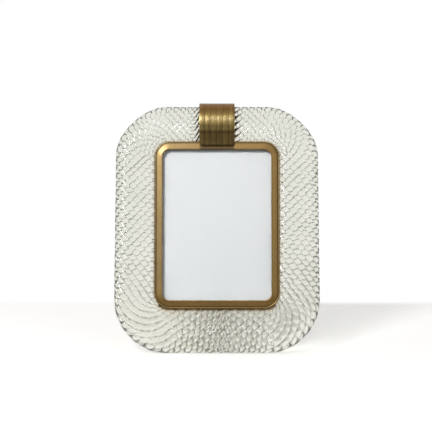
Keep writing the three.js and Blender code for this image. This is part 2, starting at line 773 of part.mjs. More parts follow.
function reedSection() {
  const section = [[COLLAR_WIDTH / 2, 0], [-COLLAR_WIDTH / 2, 0]];
  const perReed = 5;
  for (let step = 0; step <= REEDS * perReed; step += 1) {
    const x = -COLLAR_WIDTH / 2 + (COLLAR_WIDTH * step) / (REEDS * perReed);
    section.push([x, COLLAR_THICKNESS + REED_HEIGHT * Math.abs(Math.sin((Math.PI * step) / perReed))]);
  }
  return section;
}

function collar() {
  const band = strip(collarLine(), reedSection());
  const halfHeight = ropeTopZ - collarFootZ;
  const outline = roundedRectangle(COLLAR_WIDTH / 2, halfHeight, COLLAR_CORNER_RADIUS);
  const keep = sheet(outline, [], -ROPE_TOP_WIDTH, 2 * ROPE_TOP_WIDTH);
  keep.translate(0, 0, collarFootZ + halfHeight);
  const bores = collarScrewPlaces().map(([x, z]) => raised(
    rod(SCREW_HOLE_RADIUS, rimBackY, 2 * COLLAR_THICKNESS + CUT_OVERSHOOT, x, z),
  ));
  const trimmed = fromManifold(toManifold(band).intersect(toManifold(keep)));
  return named('collar', cut(trimmed, bores), agedBrass);
}

function collarLiner() {
  const step = (COLLAR_END_SHARE - COLLAR_START_SHARE) / COLLAR_WRAP_STEPS;
  const line = ropeWrap(GAP, COLLAR_START_SHARE + step, COLLAR_END_SHARE - step, COLLAR_WRAP_STEPS - 2);
  const half = LINER_WIDTH / 2;
  const section = [[half, 0], [-half, 0], [-half, LINER_THICKNESS], [half, LINER_THICKNESS]];
  return named('collar_liner', strip(line, section), softPad);
}

function hingePlate() {
  const outline = roundedRectangle(HINGE_PLATE_WIDTH / 2, HINGE_PLATE_HEIGHT / 2, HINGE_PLATE_RADIUS, 4);
  const plate = sheet(outline, [], hingePlateFrontY, HINGE_PLATE_THICKNESS);
  plate.translate(0, 0, hingeZ - HINGE_PLATE_DROP);
  const lugInner = LEG_TOP_WIDTH / 2 + LUG_TO_LEG;
  const parts = [plate];
  for (const side of [-1, 1]) {
    const startX = side > 0 ? lugInner : -lugInner - LUG_WIDTH;
    const webDepth = hingeY - hingePlateFrontY - HINGE_PLATE_THICKNESS / 2;
    parts.push(crossRod(LUG_RADIUS, startX, LUG_WIDTH, hingeY, hingeZ));
    parts.push(block(
      LUG_WIDTH,
      webDepth,
      2 * LUG_RADIUS,
      startX + LUG_WIDTH / 2,
      hingeY - webDepth / 2,
      hingeZ,
    ));
  }
  const bore = crossRod(LUG_HOLE_RADIUS, -HINGE_PLATE_WIDTH / 2, HINGE_PLATE_WIDTH, hingeY, hingeZ);
  const holes = hingeScrewPlaces().map(([x, z]) => (
    rod(SCREW_HOLE_RADIUS, hingePlateFrontY - CUT_OVERSHOOT, HINGE_PLATE_THICKNESS + 2 * CUT_OVERSHOOT, x, z)
  ));
  return named('hinge_plate', cut(joined(parts), [bore, ...holes]), brass);
}

function hingePin() {
  return named('hinge_pin', crossRod(PIN_RADIUS, -PIN_LENGTH / 2, PIN_LENGTH, hingeY, hingeZ), steel);
}

// Length of the leg from the hinge axis down to the table, measured along the leg
function legLength() {
  const axisHeight = hingeZ * Math.cos(lean) - hingeY * Math.sin(lean) - standHeight();
  return axisHeight / Math.cos(strutOpening - lean);
}

// Leg drawn hanging straight down from the hinge axis, which is its own origin
function strutLeg() {
  const footZ = -legLength() + SHOE_HEIGHT - SHOE_GRIP;
  const shoulder = -FOLD_START;
  const outline = [
    new THREE.Vector2(-LEG_TOP_WIDTH / 2, HEEL_LENGTH),
    new THREE.Vector2(-LEG_TOP_WIDTH / 2, shoulder),
    new THREE.Vector2(-LEG_FOOT_WIDTH / 2, footZ),
    new THREE.Vector2(LEG_FOOT_WIDTH / 2, footZ),
    new THREE.Vector2(LEG_TOP_WIDTH / 2, shoulder),
    new THREE.Vector2(LEG_TOP_WIDTH / 2, HEEL_LENGTH),
  ];
  const plate = sheet(outline, [], -LEG_THICKNESS / 2, LEG_THICKNESS);
  const knuckle = crossRod(LEG_KNUCKLE_RADIUS, -LEG_TOP_WIDTH / 2, LEG_TOP_WIDTH, 0, 0);
  const folds = [-1, 1].map((side) => legFold(side, shoulder, -legLength() + SHOE_HEIGHT + GAP));
  const bore = crossRod(LEG_HOLE_RADIUS, -LEG_TOP_WIDTH, 2 * LEG_TOP_WIDTH, 0, 0);
  return named('strut_leg', cut(joined([plate, knuckle, ...folds]), [bore]), brass);
}

// Stiffening fold along one edge of the leg, which tapers out at both ends
function legFold(side, topZ, bottomZ) {
  const widthAt = (z) => {
    const part = (z - topZ) / (-legLength() + SHOE_HEIGHT - SHOE_GRIP - topZ);
    return LEG_TOP_WIDTH / 2 + part * (LEG_FOOT_WIDTH / 2 - LEG_TOP_WIDTH / 2);
  };
  const taper = 2 * FOLD_HEIGHT;
  const levels = [
    [topZ, 0],
    [topZ - taper, FOLD_HEIGHT],
    [bottomZ + taper, FOLD_HEIGHT],
    [bottomZ, 0],
  ];
  const rings = levels.map(([z, rise]) => {
    const outer = side * widthAt(z);
    const inner = side * (widthAt(z) - FOLD_THICKNESS);
    const back = LEG_THICKNESS / 2 + rise;
    return [
      new THREE.Vector3(inner, 0, z),
      new THREE.Vector3(outer, 0, z),
      new THREE.Vector3(outer, back, z),
      new THREE.Vector3(inner, back, z),
    ];
  });
  return skin(rings, false);
}

// Shoe on the leg's end, cut level with the table at rest
function strutShoe() {
  const length = legLength();
  const outline = roundedRectangle(SHOE_WIDTH / 2, SHOE_DEPTH / 2, SHOE_RADIUS, 3);
  const shape = new THREE.Shape(outline);
  const body = new THREE.ExtrudeGeometry(shape, { depth: 2 * SHOE_HEIGHT, bevelEnabled: false });
  body.translate(0, 0, -length - SHOE_HEIGHT);
  const slotHeight = SHOE_GRIP + CUT_OVERSHOOT + GAP;
  const slotZ = -length + SHOE_HEIGHT - SHOE_GRIP - GAP + slotHeight / 2;
  const slot = block(LEG_FOOT_WIDTH + 2 * GAP, LEG_THICKNESS + 2 * GAP, slotHeight, 0, 0, slotZ);
  const floor = block(2 * SHOE_WIDTH, 60, 40, 0, 0, -20);
  floor.rotateX(-(strutOpening - lean));
  floor.translate(0, 0, -length);
  return named('strut_shoe', cut(body, [slot, floor]), rubber);
}

function strut() {
  const group = new THREE.Group();
  group.position.set(0, hingeY, hingeZ);
  group.rotation.x = strutOpening;
  group.add(strutLeg(), strutShoe());
  return group;
}

function fixedPieces() {
  const pieces = [glassRing(), bezel(), rearRim(), collar(), collarLiner()];
  pieces.push(heldSheet('glazing_pane', paneFrontY, PANE_THICKNESS, clearGlass));
  pieces.push(heldSheet('insert_card', cardFrontY, CARD_THICKNESS, paleCard));
  pieces.push(heldSheet('backing_board', boardFrontY, BOARD_THICKNESS, greyBoard));
  pieces.push(rearPanel(), hingePlate(), hingePin());
  rimScrewPlaces().forEach(([x, z], place) => {
    const seat = rimBackY + GAP;
    pieces.push(screw(`rim_screw_${place + 1}`, x, z + bezelCentreZ, seat, RIM_SCREW_LENGTH, brass));
  });
  collarScrewPlaces().forEach(([x, z], place) => {
    const seat = rimBackY + 2 * GAP + COLLAR_THICKNESS + REED_HEIGHT;
    const name = `collar_screw_${place + 1}`;
    pieces.push(screw(name, x, z + bezelCentreZ, seat, COLLAR_SCREW_LENGTH, agedBrass));
  });
  hingeScrewPlaces().forEach(([x, z], place) => {
    const seat = hingePlateBackY + GAP;
    pieces.push(screw(`hinge_screw_${place + 1}`, x, z, seat, HINGE_SCREW_LENGTH, brass));
  });
  return pieces;
}

function buttonPieces() {
  return pivotPlaces().flatMap(([x, z], place) => [
    pivotStud(`pivot_stud_${place + 1}`, x, z),
    turnButton(`turn_button_${place + 1}`, x, z),
  ]);
}

// Leans the frame back, sets it on the table and puts the origin under the middle of its depth
function pictureFrame() {
  const leaning = new THREE.Group();
  leaning.rotation.x = -lean;
  leaning.position.z = -standHeight();
  leaning.add(...fixedPieces(), ...buttonPieces(), strut());
  const whole = new THREE.Group();
  whole.name = 'picture_frame';
  whole.add(leaning);
  whole.updateMatrixWorld(true);
  const box = new THREE.Box3().setFromObject(whole, true);
  const middle = box.getCenter(new THREE.Vector3());
  leaning.position.y -= middle.y;
  return whole;
}

export default pictureFrame();
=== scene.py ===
"""Looks of the twisted glass picture frame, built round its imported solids.

Shapes are drawn in millimetres in the upright drawing of part.mjs: x to the right as seen from the
front, y backwards, z up from the lowest glass. They are then leaned back and set on the table with
the frame's own joints as the reference, so they land on the solids that they stand for.
"""
import json
import math

import bmesh
import bpy
import numpy as np
from mathutils import Matrix, Vector
from mathutils.geometry import tessellate_polygon


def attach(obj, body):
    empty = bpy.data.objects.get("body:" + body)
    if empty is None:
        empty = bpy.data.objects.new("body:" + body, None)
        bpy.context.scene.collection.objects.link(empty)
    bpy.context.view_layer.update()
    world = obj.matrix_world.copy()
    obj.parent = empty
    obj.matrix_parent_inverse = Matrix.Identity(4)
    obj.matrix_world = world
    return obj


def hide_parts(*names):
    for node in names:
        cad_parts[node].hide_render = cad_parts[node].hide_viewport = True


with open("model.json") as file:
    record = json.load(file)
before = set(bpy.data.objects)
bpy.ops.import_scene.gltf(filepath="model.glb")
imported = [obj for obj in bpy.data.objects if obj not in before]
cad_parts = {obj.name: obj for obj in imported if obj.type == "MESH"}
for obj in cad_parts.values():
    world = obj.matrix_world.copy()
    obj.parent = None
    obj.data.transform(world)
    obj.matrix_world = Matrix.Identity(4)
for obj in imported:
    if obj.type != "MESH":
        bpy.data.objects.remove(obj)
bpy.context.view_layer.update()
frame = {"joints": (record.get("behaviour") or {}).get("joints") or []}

random = np.random.default_rng(7)

# Sizes of the solids in millimetres
GAP = 0.3
OPENING_HALF = (61.3, 85.0)
OPENING_RADIUS = 8.5
MOULDING_WIDTH = 9.1
MOULDING_RISE = 2.7
MOULDING_BACK_Y = -9.9
LIP_WIDTH = 0.9
FACE_FALL = 1.35
BEAD_WIDTH = 1.5
BEAD_RISE = 0.5
REBATE_FACE_Y = -9.3
REBATE_HALF = (63.75, 89.25)
REBATE_RADIUS = 16
WALL_HALF = (65.0, 90.5)
WALL_RADIUS = 11.5
WALL_BACK_Y = 6.1
BEZEL_CENTRE_Z = 144.8
MOULDING_HALF = (70.4, 94.1)
ROPE_CENTRE_X = 91.0
ROPE_TOP_CENTRE_Z = 258.15
ROPE_TOP_HALF = 22.25
ROPE_BOTTOM_HALF = 26.85
ROPE_TOP_Z = 280.4
ROPE_CORNER_RADIUS = 34
ROPE_SIDE_INNER = 25.4
ROPE_SIDE_OUTER = 25
ROPE_TAPER = 1.2
ROPE_CORNER_INNER = 1.2
ROPE_TOP_CORNER_OUTER = -2.4
ROPE_BOTTOM_CORNER_OUTER = -0.5
ROPE_FRONT_SHARE = 0.6
ROPE_BACK_SHARE = 0.38
ROPE_SQUARENESS = 2.15
ROPE_END_GAP = 3
RIBS = 14
RIB_HEIGHT = 1.3
RIB_CREST_SINK = 0.22
RIB_PITCH_BOTTOM = 12.4
RIB_PITCH_TOP = 8.2
LAST_TURN = 0.12
LAST_TURN_START = 34
LAST_TURN_LENGTH = 20
ROPE_STATIONS = 560
# The even lattice in the middle of the bottom run
LATTICE_X = 7
LATTICE_HALF = 43
COLLAR_WIDTH = 40
COLLAR_THICKNESS = 1.85
COLLAR_FOOT_Z = 234.3
COLLAR_REAR_Y = 8.2
COLLAR_CORNER_RADIUS = 4.5
COLLAR_LAP = 4.6
COLLAR_WRAP = (0.735, 1.23)
COLLAR_ROWS = 150
COLLAR_SCREW_RISE = 2.7
REEDS = 6
REED_HEIGHT = 0.45
REED_COLUMNS = 18
LINER_WIDTH = 38
LINER_THICKNESS = 1.2
LINER_WRAP = (0.77, 1.23)
LINER_INSET = 0.46 / 14
RIM_FRONT_Y = 6.4
RIM_BACK_Y = 7.9
RIM_RADIUS = 17.6
RIM_HOLE_HALF = (63.9, 89.4)
RIM_HOLE_RADIUS = 18
PANE_HALF = (63.5, 89.0)
SHEET_RADIUS = 16.5
PANE_Y = (-9.0, -7.0)
CARD_Y = (-6.7, -5.7)
BOARD_Y = (-5.4, 1.6)
PANEL_Y = (1.9, 7.9)
PANEL_HALF = (63.25, 88.75)
PANEL_RADIUS = 17.6
PIVOT_X = 67.15
PIVOT_RISE = 52
PIVOT_HOLE_RADIUS = 1.5
SCREW_HOLE_RADIUS = 1.05
SCREW_HOLE_DEPTH = 8
HINGE_AXIS = (12.8, 200.0)
HINGE_PLATE_Y = (8.2, 9.4)
HINGE_PLATE_HALF = (18, 15)
HINGE_PLATE_DROP = 1.5
HINGE_SCREW_X = 13.8
HINGE_SCREW_RISE = 9.5
LUG_RADIUS = 3.2
LUG_WIDTH = 4.5
LUG_HOLE_RADIUS = 1.6
PIN_HALF = 14.2
PIN_RADIUS = 1.4
LEG_TOP_HALF = 8
LEG_FOOT_HALF = 10
SHOE_HALF = (11.5, 3)
SHOE_HEIGHT = 10
STAND_LEAN = 12
# Plates are shaded smooth round their outlines and flat on their faces
PLATE_DEG = 14
# Left or right and up or down, clockwise from the upper left
CORNERS = ((-1, 1), (1, 1), (1, -1), (-1, -1))

# Where the drawing lies in the world
joints = {joint["name"]: joint for joint in frame["joints"]}
button_axis = Vector(joints["button_1_turn"]["axis"])
lean_turn = Matrix.Rotation(-math.atan2(-button_axis.z, button_axis.y), 4, "X")
hinge_place = Vector(joints["strut_hinge"]["pos_m"])
MM = Matrix.Scale(0.001, 4)
from_hinge = Matrix.Translation((0, -HINGE_AXIS[0], -HINGE_AXIS[1]))
to_frame = Matrix.Translation(hinge_place) @ lean_turn @ MM @ from_hinge
to_strut = Matrix.Translation(hinge_place) @ Matrix.Rotation(math.radians(STAND_LEAN), 4, "X") @ MM
leg_length = 1000 * hinge_place.z / math.cos(math.radians(STAND_LEAN))


# Shapes

def grid_faces(rows, columns, closed=False):
    """Quads over a grid of points stored row by row. Columns go round, and rows too where closed."""
    row, column = np.meshgrid(np.arange(rows if closed else rows - 1), np.arange(columns), indexing="ij")
    row, column = row.ravel(), column.ravel()
    next_row, next_column = (row + 1) % rows, (column + 1) % columns
    corners = [row * columns + column, row * columns + next_column]
    corners += [next_row * columns + next_column, next_row * columns + column]
    return np.stack(corners, axis=1).tolist()


def mesh_from(points, faces):
    mesh = bpy.data.meshes.new("shape")
    mesh.from_pydata(np.asarray(points, float).tolist(), [], faces)
    turned = bmesh.new()
    turned.from_mesh(mesh)
    bmesh.ops.recalc_face_normals(turned, faces=turned.faces)
    turned.to_mesh(mesh)
    turned.free()
    return mesh


def rounded_outline(half, radius, steps=14, centre=(0, 0)):
    """Points of a rounded rectangle, the same count for each radius, clockwise."""
    points = []
    for (side_x, side_z), start in zip(CORNERS, (180, 90, 0, -90)):
        for step in range(steps + 1):
            angle = math.radians(start - 90 * step / steps)
            x = side_x * (half[0] - radius) + radius * math.cos(angle)
            z = side_z * (half[1] - radius) + radius * math.sin(angle)
            points.append((x + centre[0], z + centre[1]))
    return np.array(points)


def circle_outline(centre, radius, steps=28):
    angle = -2 * np.pi * np.arange(steps) / steps
    return np.stack([centre[0] + radius * np.cos(angle), centre[1] + radius * np.sin(angle)], axis=1)


def left_of(along):
    """Unit vectors to the left of the given ones."""
    along = along / np.linalg.norm(along, axis=-1, keepdims=True)
    return np.stack([-along[..., 1], along[..., 0]], axis=-1)


def outline_normals(outline):
    return left_of(np.roll(outline, -1, axis=0) - np.roll(outline, 1, axis=0))


def lengths_along(line):
    """Length of a line up to each of its points."""
    return np.concatenate([[0], np.cumsum(np.linalg.norm(np.diff(line, axis=0), axis=1))])


def points_along(line, length, wanted):
    return np.stack([np.interp(wanted, length, line[:, axis]) for axis in (0, 1)], axis=-1)


def plate_mesh(outline, holes, start, thickness, edge=0.25, axes="xzy"):
    """Plate with softened edges. axes names what the outline and the thickness run along."""
    angles = [math.pi / 2 * step / 3 for step in range(4)]
    levels = [(edge * (1 - math.sin(angle)), edge * (1 - math.cos(angle))) for angle in angles]
    levels += [(inset, thickness - depth) for inset, depth in reversed(levels)]
    points, faces, front_caps, back_caps = [], [], [], []
    for loop in [outline, *holes]:
        out = outline_normals(loop) * (1 if loop is outline else -1)
        base, count = len(points), len(loop)
        for inset, depth in levels:
            points += [(a, b, start + depth) for a, b in loop - out * inset]
        faces += [[base + corner for corner in quad] for quad in grid_faces(len(levels), count)]
        last = base + (len(levels) - 1) * count
        front_caps.append(range(base, base + count))
        back_caps.append(range(last, last + count))
    for caps in (front_caps, back_caps):
        flat = [index for cap in caps for index in cap]
        polygon = [[Vector(points[index][:2]).to_3d() for index in cap] for cap in caps]
        faces += [[flat[corner] for corner in triangle] for triangle in tessellate_polygon(polygon)]
    order = [axes.index(axis) for axis in "xyz"]
    return mesh_from(np.array(points)[:, order], faces)


def rounded_plate(half, radius, span, edge, holes=(), centre_z=BEZEL_CENTRE_Z):
    """Plate with a rounded rectangle as its outline, between two places in y."""
    outline = rounded_outline(half, radius, centre=(0, centre_z))
    return plate_mesh(outline, holes, span[0], span[1] - span[0], edge)


def fanned_mesh(rings, ends):
    """Rings of points joined in a row and closed by a fan to a point at both ends."""
    rows, columns = rings.shape[:2]
    faces = grid_faces(rows, columns)
    first, last_row = rows * columns, (rows - 1) * columns
    for column in range(columns):
        beside = (column + 1) % columns
        faces += [[first, beside, column], [first + 1, last_row + column, last_row + beside]]
    return mesh_from(np.vstack([rings.reshape(-1, 3), ends]), faces)


def tube_mesh(points, count):
    """Rings of count points each, joined in a row and closed flat at both ends."""
    ends = [list(range(count)), list(range(len(points) - count, len(points)))]
    return mesh_from(points, grid_faces(len(points) // count, count) + ends)


def turned_mesh(profile, steps=32):
    """Solid of revolution about y. The profile is [radius, y] and starts and ends on the axis."""
    profile = np.array(profile, float)
    angle = 2 * np.pi * np.arange(steps) / steps
    radius, y = profile[1:-1, :1], np.repeat(profile[1:-1, 1:], steps, axis=1)
    rings = np.stack([radius * np.cos(angle), y, radius * np.sin(angle)], axis=-1)
    return fanned_mesh(rings, [[0, profile[0, 1], 0], [0, profile[-1, 1], 0]])


def box_mesh(size, centre):
    corners = [(x, y, z) for x in (-1, 1) for y in (-1, 1) for z in (-1, 1)]
    points = np.array(corners) * np.array(size) / 2 + np.array(centre)
    faces = [[0, 1, 3, 2], [4, 6, 7, 5], [0, 4, 5, 1], [2, 3, 7, 6], [0, 2, 6, 4], [1, 5, 7, 3]]
    return mesh_from(points, faces)


def moved(mesh, x=0.0, y=0.0, z=0.0, turn=0.0):
    """The mesh turned about its y axis and then moved."""
    mesh.transform(Matrix.Translation((x, y, z)) @ Matrix.Rotation(turn, 4, "Y"))
    return mesh


def linked(name, data):
    """A new object in the scene."""
    made = bpy.data.objects.new(name, data)
    bpy.context.scene.collection.objects.link(made)
    return made


def combined(mesh, others, operation):
    """The mesh joined with or cut by the others, one after the other."""
    base, *tools = [linked("tool", item) for item in [mesh, *others]]
    for tool in tools:
        step = base.modifiers.new("step", "BOOLEAN")
        step.operation = operation
        step.solver = "EXACT"
        step.object = tool
    shaped = base.evaluated_get(bpy.context.evaluated_depsgraph_get())
    result = bpy.data.meshes.new_from_object(shaped)
    for item in [base, *tools]:
        bpy.data.objects.remove(item)
    return result


def piece(name, mesh, stands_for, material, body="frame", place=to_frame, smooth_deg=35):
    """Puts a mesh into the scene as a piece that rides on a body and stands for a solid."""
    mesh.transform(place)
    mesh.materials.clear()
    mesh.materials.append(material)
    mesh.shade_smooth()
    if smooth_deg < 180:
        mesh.set_sharp_from_angle(angle=math.radians(smooth_deg))
    mesh.name = name
    made = linked(name, mesh)
    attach(made, body)
    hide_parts(stands_for)
    return made


def shade_points(mesh, name, values):
    """Stores a value for each point of a mesh, for its material to read."""
    attribute = mesh.attributes.new(name, "FLOAT", "POINT")
    attribute.data.foreach_set("value", np.asarray(values, np.float32))


# Materials

class Nodes:
    """A node tree, with short calls to add nodes and link them."""

    def __init__(self, tree):
        self.tree = tree

    def fill(self, node, inputs):
        """Sets or links a node's inputs by name or number."""
        for key, value in inputs.items():
            if isinstance(value, bpy.types.NodeSocket):
                self.tree.links.new(value, node.inputs[key])
            else:
                node.inputs[key].default_value = value
        return node

    def add(self, kind, inputs=None, **settings):
        node = self.tree.nodes.new("ShaderNode" + kind)
        for name, value in settings.items():
            setattr(node, name, value)
        return self.fill(node, inputs or {})

    def ranged(self, value, low, high, to_low=0.0, to_high=1.0):
        """The value, with low to high spread over another range and held at its ends."""
        inputs = {"Value": value, "From Min": low, "From Max": high, "To Min": to_low, "To Max": to_high}
        return self.add("MapRange", inputs).outputs["Result"]

    def maths(self, operation, *values):
        return self.add("Math", dict(enumerate(values)), operation=operation).outputs[0]

    def mixed(self, share, first, second):
        first, second = ((*value, 1) if isinstance(value, tuple) else value for value in (first, second))
        return self.add("Mix", {0: share, 6: first, 7: second}, data_type="RGBA").outputs[2]

    def blended(self, share, first, second):
        """Mix of two shaders."""
        return self.add("MixShader", {0: share, 1: first, 2: second}).outputs[0]

    def axes(self, place):
        return self.add("SeparateXYZ", {0: place}).outputs


class Paint(Nodes):
    """A material for the object, placed by the object's own coordinates."""

    def __init__(self, name):
        self.material = bpy.data.materials.new(name)
        self.material.use_nodes = True
        super().__init__(self.material.node_tree)
        self.shader = self.tree.nodes["Principled BSDF"]
        self.place = self.add("TexCoord").outputs["Object"]

    def stretched(self, scale):
        return self.add("Mapping", {"Vector": self.place, "Scale": scale}).outputs["Vector"]

    def noise(self, scale, detail=3.0, roughness=0.55, vector=None, distortion=0.0):
        inputs = {"Vector": vector or self.place, "Scale": scale, "Detail": detail}
        inputs |= {"Roughness": roughness, "Distortion": distortion}
        return self.add("TexNoise", inputs).outputs["Fac"]

    def layered(self, colour, *layers):
        """The colour with other colours laid over it, each by its share."""
        for share, tint in layers:
            colour = self.mixed(share, colour, tint)
        return colour

    def bumped(self, height, distance, strength, normal=None):
        inputs = {"Height": height, "Distance": distance, "Strength": strength}
        if normal is not None:
            inputs["Normal"] = normal
        return self.add("Bump", inputs).outputs["Normal"]

    def read(self, name):
        return self.add("Attribute", attribute_name=name).outputs["Fac"]

    def finish(self, colour, rough, **others):
        names = {"metal": "Metallic", "normal": "Normal", "transmission": "Transmission Weight"}
        names |= {"ior": "IOR", "sheen": "Sheen Weight", "sheen_rough": "Sheen Roughness"}
        names |= {"shine": "Specular IOR Level", "coat": "Coat Weight", "coat_rough": "Coat Roughness"}
        self.fill(self.shader, {"Base Color": colour, "Roughness": rough})
        self.fill(self.shader, {names[key]: value for key, value in others.items()})
        return self.material

    def lets_lamps_through(self, tint):
        """Rays from lamps pass with a tint, so that what lies behind the glass is lit."""
        to_lamp = self.add("LightPath").outputs["Is Shadow Ray"]
        clear = self.add("BsdfTransparent", {"Color": (*tint, 1)}).outputs[0]
        glass = self.blended(to_lamp, self.shader.outputs[0], clear)
        self.fill(self.tree.nodes["Material Output"], {"Surface": glass})
        return self.material


def rope_glass():
    paint = Paint("rope_glass")
    cloud = paint.ranged(paint.noise(24, 2.0), 0.3, 0.7)
    broken = paint.ranged(paint.noise(260, 2.0), 0.4, 0.6, 0.25, 1.0)
    colour = paint.layered(
        paint.mixed(cloud, (0.78, 0.785, 0.70), (0.85, 0.85, 0.78)),
        # Painted shade along the grooves
        (paint.maths("MULTIPLY", paint.read("groove_shade"), broken), (0.17, 0.16, 0.12)),
        # Painted reflection of the bezel's brass
        (paint.read("bezel_reflection"), (0.66, 0.48, 0.26)),
        # Painted shadow beside the bezel
        (paint.read("contact_shadow"), (0.008, 0.004, 0.001)),
        # Painted reflection of the collar
        (paint.read("collar_reflection"), (0.05, 0.027, 0.011)),
    )
    normal = paint.bumped(paint.noise(210, 3.0, 0.6), 0.0006, 0.75)
    paint.finish(colour, 0.065, ior=1.5, transmission=1.0, normal=normal)
    return paint.lets_lamps_through((0.5, 0.505, 0.485))


def pane_glass():
    paint = Paint("pane_glass")
    film = paint.ranged(paint.noise(9, 2.0), 0.35, 0.65)
    colour = paint.mixed(film, (0.955, 0.97, 0.965), (0.975, 0.985, 0.98))
    normal = paint.bumped(paint.noise(35, 1.0), 0.00002, 0.3)
    paint.finish(colour, 0.0, ior=1.5, transmission=1.0, normal=normal)
    return paint.lets_lamps_through((0.97, 0.98, 0.975))


def brass(name, bright, dull, tarnish, rough, brushed=(900, 900, 60), on_bezel=False):
    """Satin brass with a blotchy patina and fine hairlines. brushed is how fine they are along x, y, z.

    On the bezel it is redder at the right and the bottom as painted shade, dark in its hollows with patina
    and painted shade, and dark under the collar as its painted shadow.
    """
    paint = Paint(name)
    blotch = paint.ranged(paint.noise(42, 5.0, 0.62, distortion=0.4), 0.35, 0.68)
    spots = paint.ranged(paint.noise(330, 4.0, 0.6), 0.58, 0.78)
    hair = paint.noise(1.0, 4.0, 0.6, paint.stretched(brushed))
    colour = paint.mixed(blotch, bright, dull)
    if on_bezel:
        x, _, z = paint.axes(paint.place)
        # Painted shade: redder on the right and bottom bars, which face away from the main lamp.
        right_shade = paint.ranged(x, -0.05, 0.06, 0.0, 0.6)
        bottom_shade = paint.ranged(z, 0.085, 0.06, 0.0, 0.7)
        colour = paint.mixed(paint.maths("MAXIMUM", right_shade, bottom_shade), colour, (0.58, 0.335, 0.083))
    colour = paint.mixed(paint.ranged(hair, 0.3, 0.7, 0.0, 0.35), colour, tarnish)
    colour = paint.mixed(paint.maths("MULTIPLY", spots, 0.25), colour, tarnish)
    uneven = paint.ranged(hair, 0.3, 0.7, -0.03, 0.05)
    roughness = paint.maths("ADD", paint.ranged(blotch, 0, 1, rough, rough + 0.07), uneven)
    if on_bezel:
        # Painted shadow of the collar on the top bar below its foot, joined with the patina and painted
        # shade in the hollows.
        below_collar = paint.ranged(paint.maths("ABSOLUTE", x), 0.0185, 0.0205, 0.75, 0)
        collar_shadow = paint.maths("MULTIPLY", below_collar, paint.ranged(z, 0.2, 0.21))
        dark = paint.maths("MAXIMUM", paint.read("grime_and_shade"), collar_shadow)
        colour = paint.mixed(dark, colour, (0.035, 0.022, 0.010))
        roughness = paint.maths("ADD", roughness, paint.maths("MULTIPLY", dark, 0.2))
    normal = paint.bumped(paint.noise(1500, 2.0, 0.5), 0.00003, 0.35, paint.bumped(hair, 0.00005, 0.35))
    return paint.finish(colour, roughness, metal=1.0, normal=normal, coat=0.5, coat_rough=0.3)


def collar_brass():
    """Aged brass with lines along the reeds, placed across and along the band in millimetres.

    From its foot it has painted shade up to a painted dark crease, painted light up to a painted highlight,
    then dark red over the top, then brass.
    """
    paint = Paint("collar_brass")
    across, along = paint.read("across"), paint.read("along")
    crease, shine, red_start, red_end, rear_start, rear_end = 15.6, 30.2, 32, 42, 55, 64

    def lines_noise(scale, roughness, shortness, start):
        place = {"X": across, "Y": paint.maths("MULTIPLY", along, shortness), "Z": start}
        return paint.noise(scale, 4.0, roughness, paint.add("CombineXYZ", place).outputs[0])

    def beside(place, near, far, share):
        distance = paint.maths("ABSOLUTE", paint.maths("SUBTRACT", along, place))
        return paint.ranged(distance, near, far, share, 0.0)

    lines = lines_noise(1.3, 0.75, 0.03, 0.0)
    streaks = lines_noise(0.45, 0.6, 0.12, 3.0)
    blotch = paint.ranged(paint.noise(55, 4.0, 0.6), 0.35, 0.7)
    colour = paint.layered(
        paint.mixed(paint.ranged(streaks, 0.38, 0.62), (0.63, 0.455, 0.155), (0.42, 0.28, 0.085)),
        # Painted light between the crease and the highlight
        (paint.ranged(along, 28, 24, 0.0, 0.65), (0.90, 0.68, 0.26)),
        # Painted highlight band across the reeds
        (beside(shine, 0.8, 4.5, 0.8), (0.98, 0.79, 0.37)),
        (paint.ranged(along, red_start, red_end), (0.225, 0.112, 0.031)),
        (paint.ranged(along, rear_start, rear_end), (0.40, 0.27, 0.085)),
        # Painted shade below the crease
        (paint.ranged(along, 18.0, 15.5, 0.0, 0.55), (0.16, 0.085, 0.018)),
        # Painted dark line along the crease
        (beside(crease, 0.6, 3.0, 0.45), (0.08, 0.042, 0.014)),
        (paint.ranged(lines, 0.44, 0.60, 0.0, 0.75), (0.17, 0.10, 0.032)),
        (paint.ranged(lines, 0.42, 0.34, 0.0, 0.6), (0.66, 0.51, 0.25)),
        (paint.maths("MULTIPLY", blotch, 0.3), (0.22, 0.12, 0.045)),
        # Patina and painted shade from the mesh
        (paint.read("grime_and_shade"), (0.045, 0.027, 0.012)),
    )
    uneven = paint.ranged(streaks, 0.3, 0.7, -0.06, 0.08)
    roughness = paint.maths("ADD", paint.ranged(lines, 0.3, 0.7, 0.20, 0.42), uneven)
    normal = paint.bumped(lines, 0.00016, 0.6)
    return paint.finish(colour, roughness, metal=1.0, normal=normal, coat=0.15, coat_rough=0.3)


def lacquer():
    """Cream lacquer on the brass strut, rubbed a little thin in places."""
    paint = Paint("lacquer")
    cloud = paint.ranged(paint.noise(38, 4.0), 0.35, 0.7)
    worn = paint.ranged(paint.noise(190, 5.0, 0.65), 0.64, 0.72, 0.0, 0.7)
    colour = paint.mixed(cloud, (0.90, 0.885, 0.83), (0.86, 0.835, 0.76))
    colour = paint.mixed(worn, colour, (0.50, 0.37, 0.18))
    rough = paint.ranged(paint.noise(420, 3.0), 0.3, 0.7, 0.34, 0.5)
    normal = paint.bumped(paint.noise(900, 3.0, 0.5), 0.00003, 0.4)
    return paint.finish(colour, rough, metal=paint.maths("MULTIPLY", worn, 0.8), normal=normal)


def steel():
    paint = Paint("steel")
    hair = paint.noise(1.0, 4.0, 0.6, paint.stretched((200, 2600, 2600)))
    colour = paint.mixed(paint.ranged(hair, 0.3, 0.7), (0.42, 0.41, 0.39), (0.56, 0.55, 0.53))
    specks = paint.ranged(paint.noise(700, 3.0), 0.55, 0.75, 0, 0.4)
    colour = paint.mixed(specks, colour, (0.16, 0.13, 0.10))
    rough = paint.ranged(hair, 0.3, 0.7, 0.24, 0.42)
    return paint.finish(colour, rough, metal=1.0, normal=paint.bumped(hair, 0.00004, 0.4))


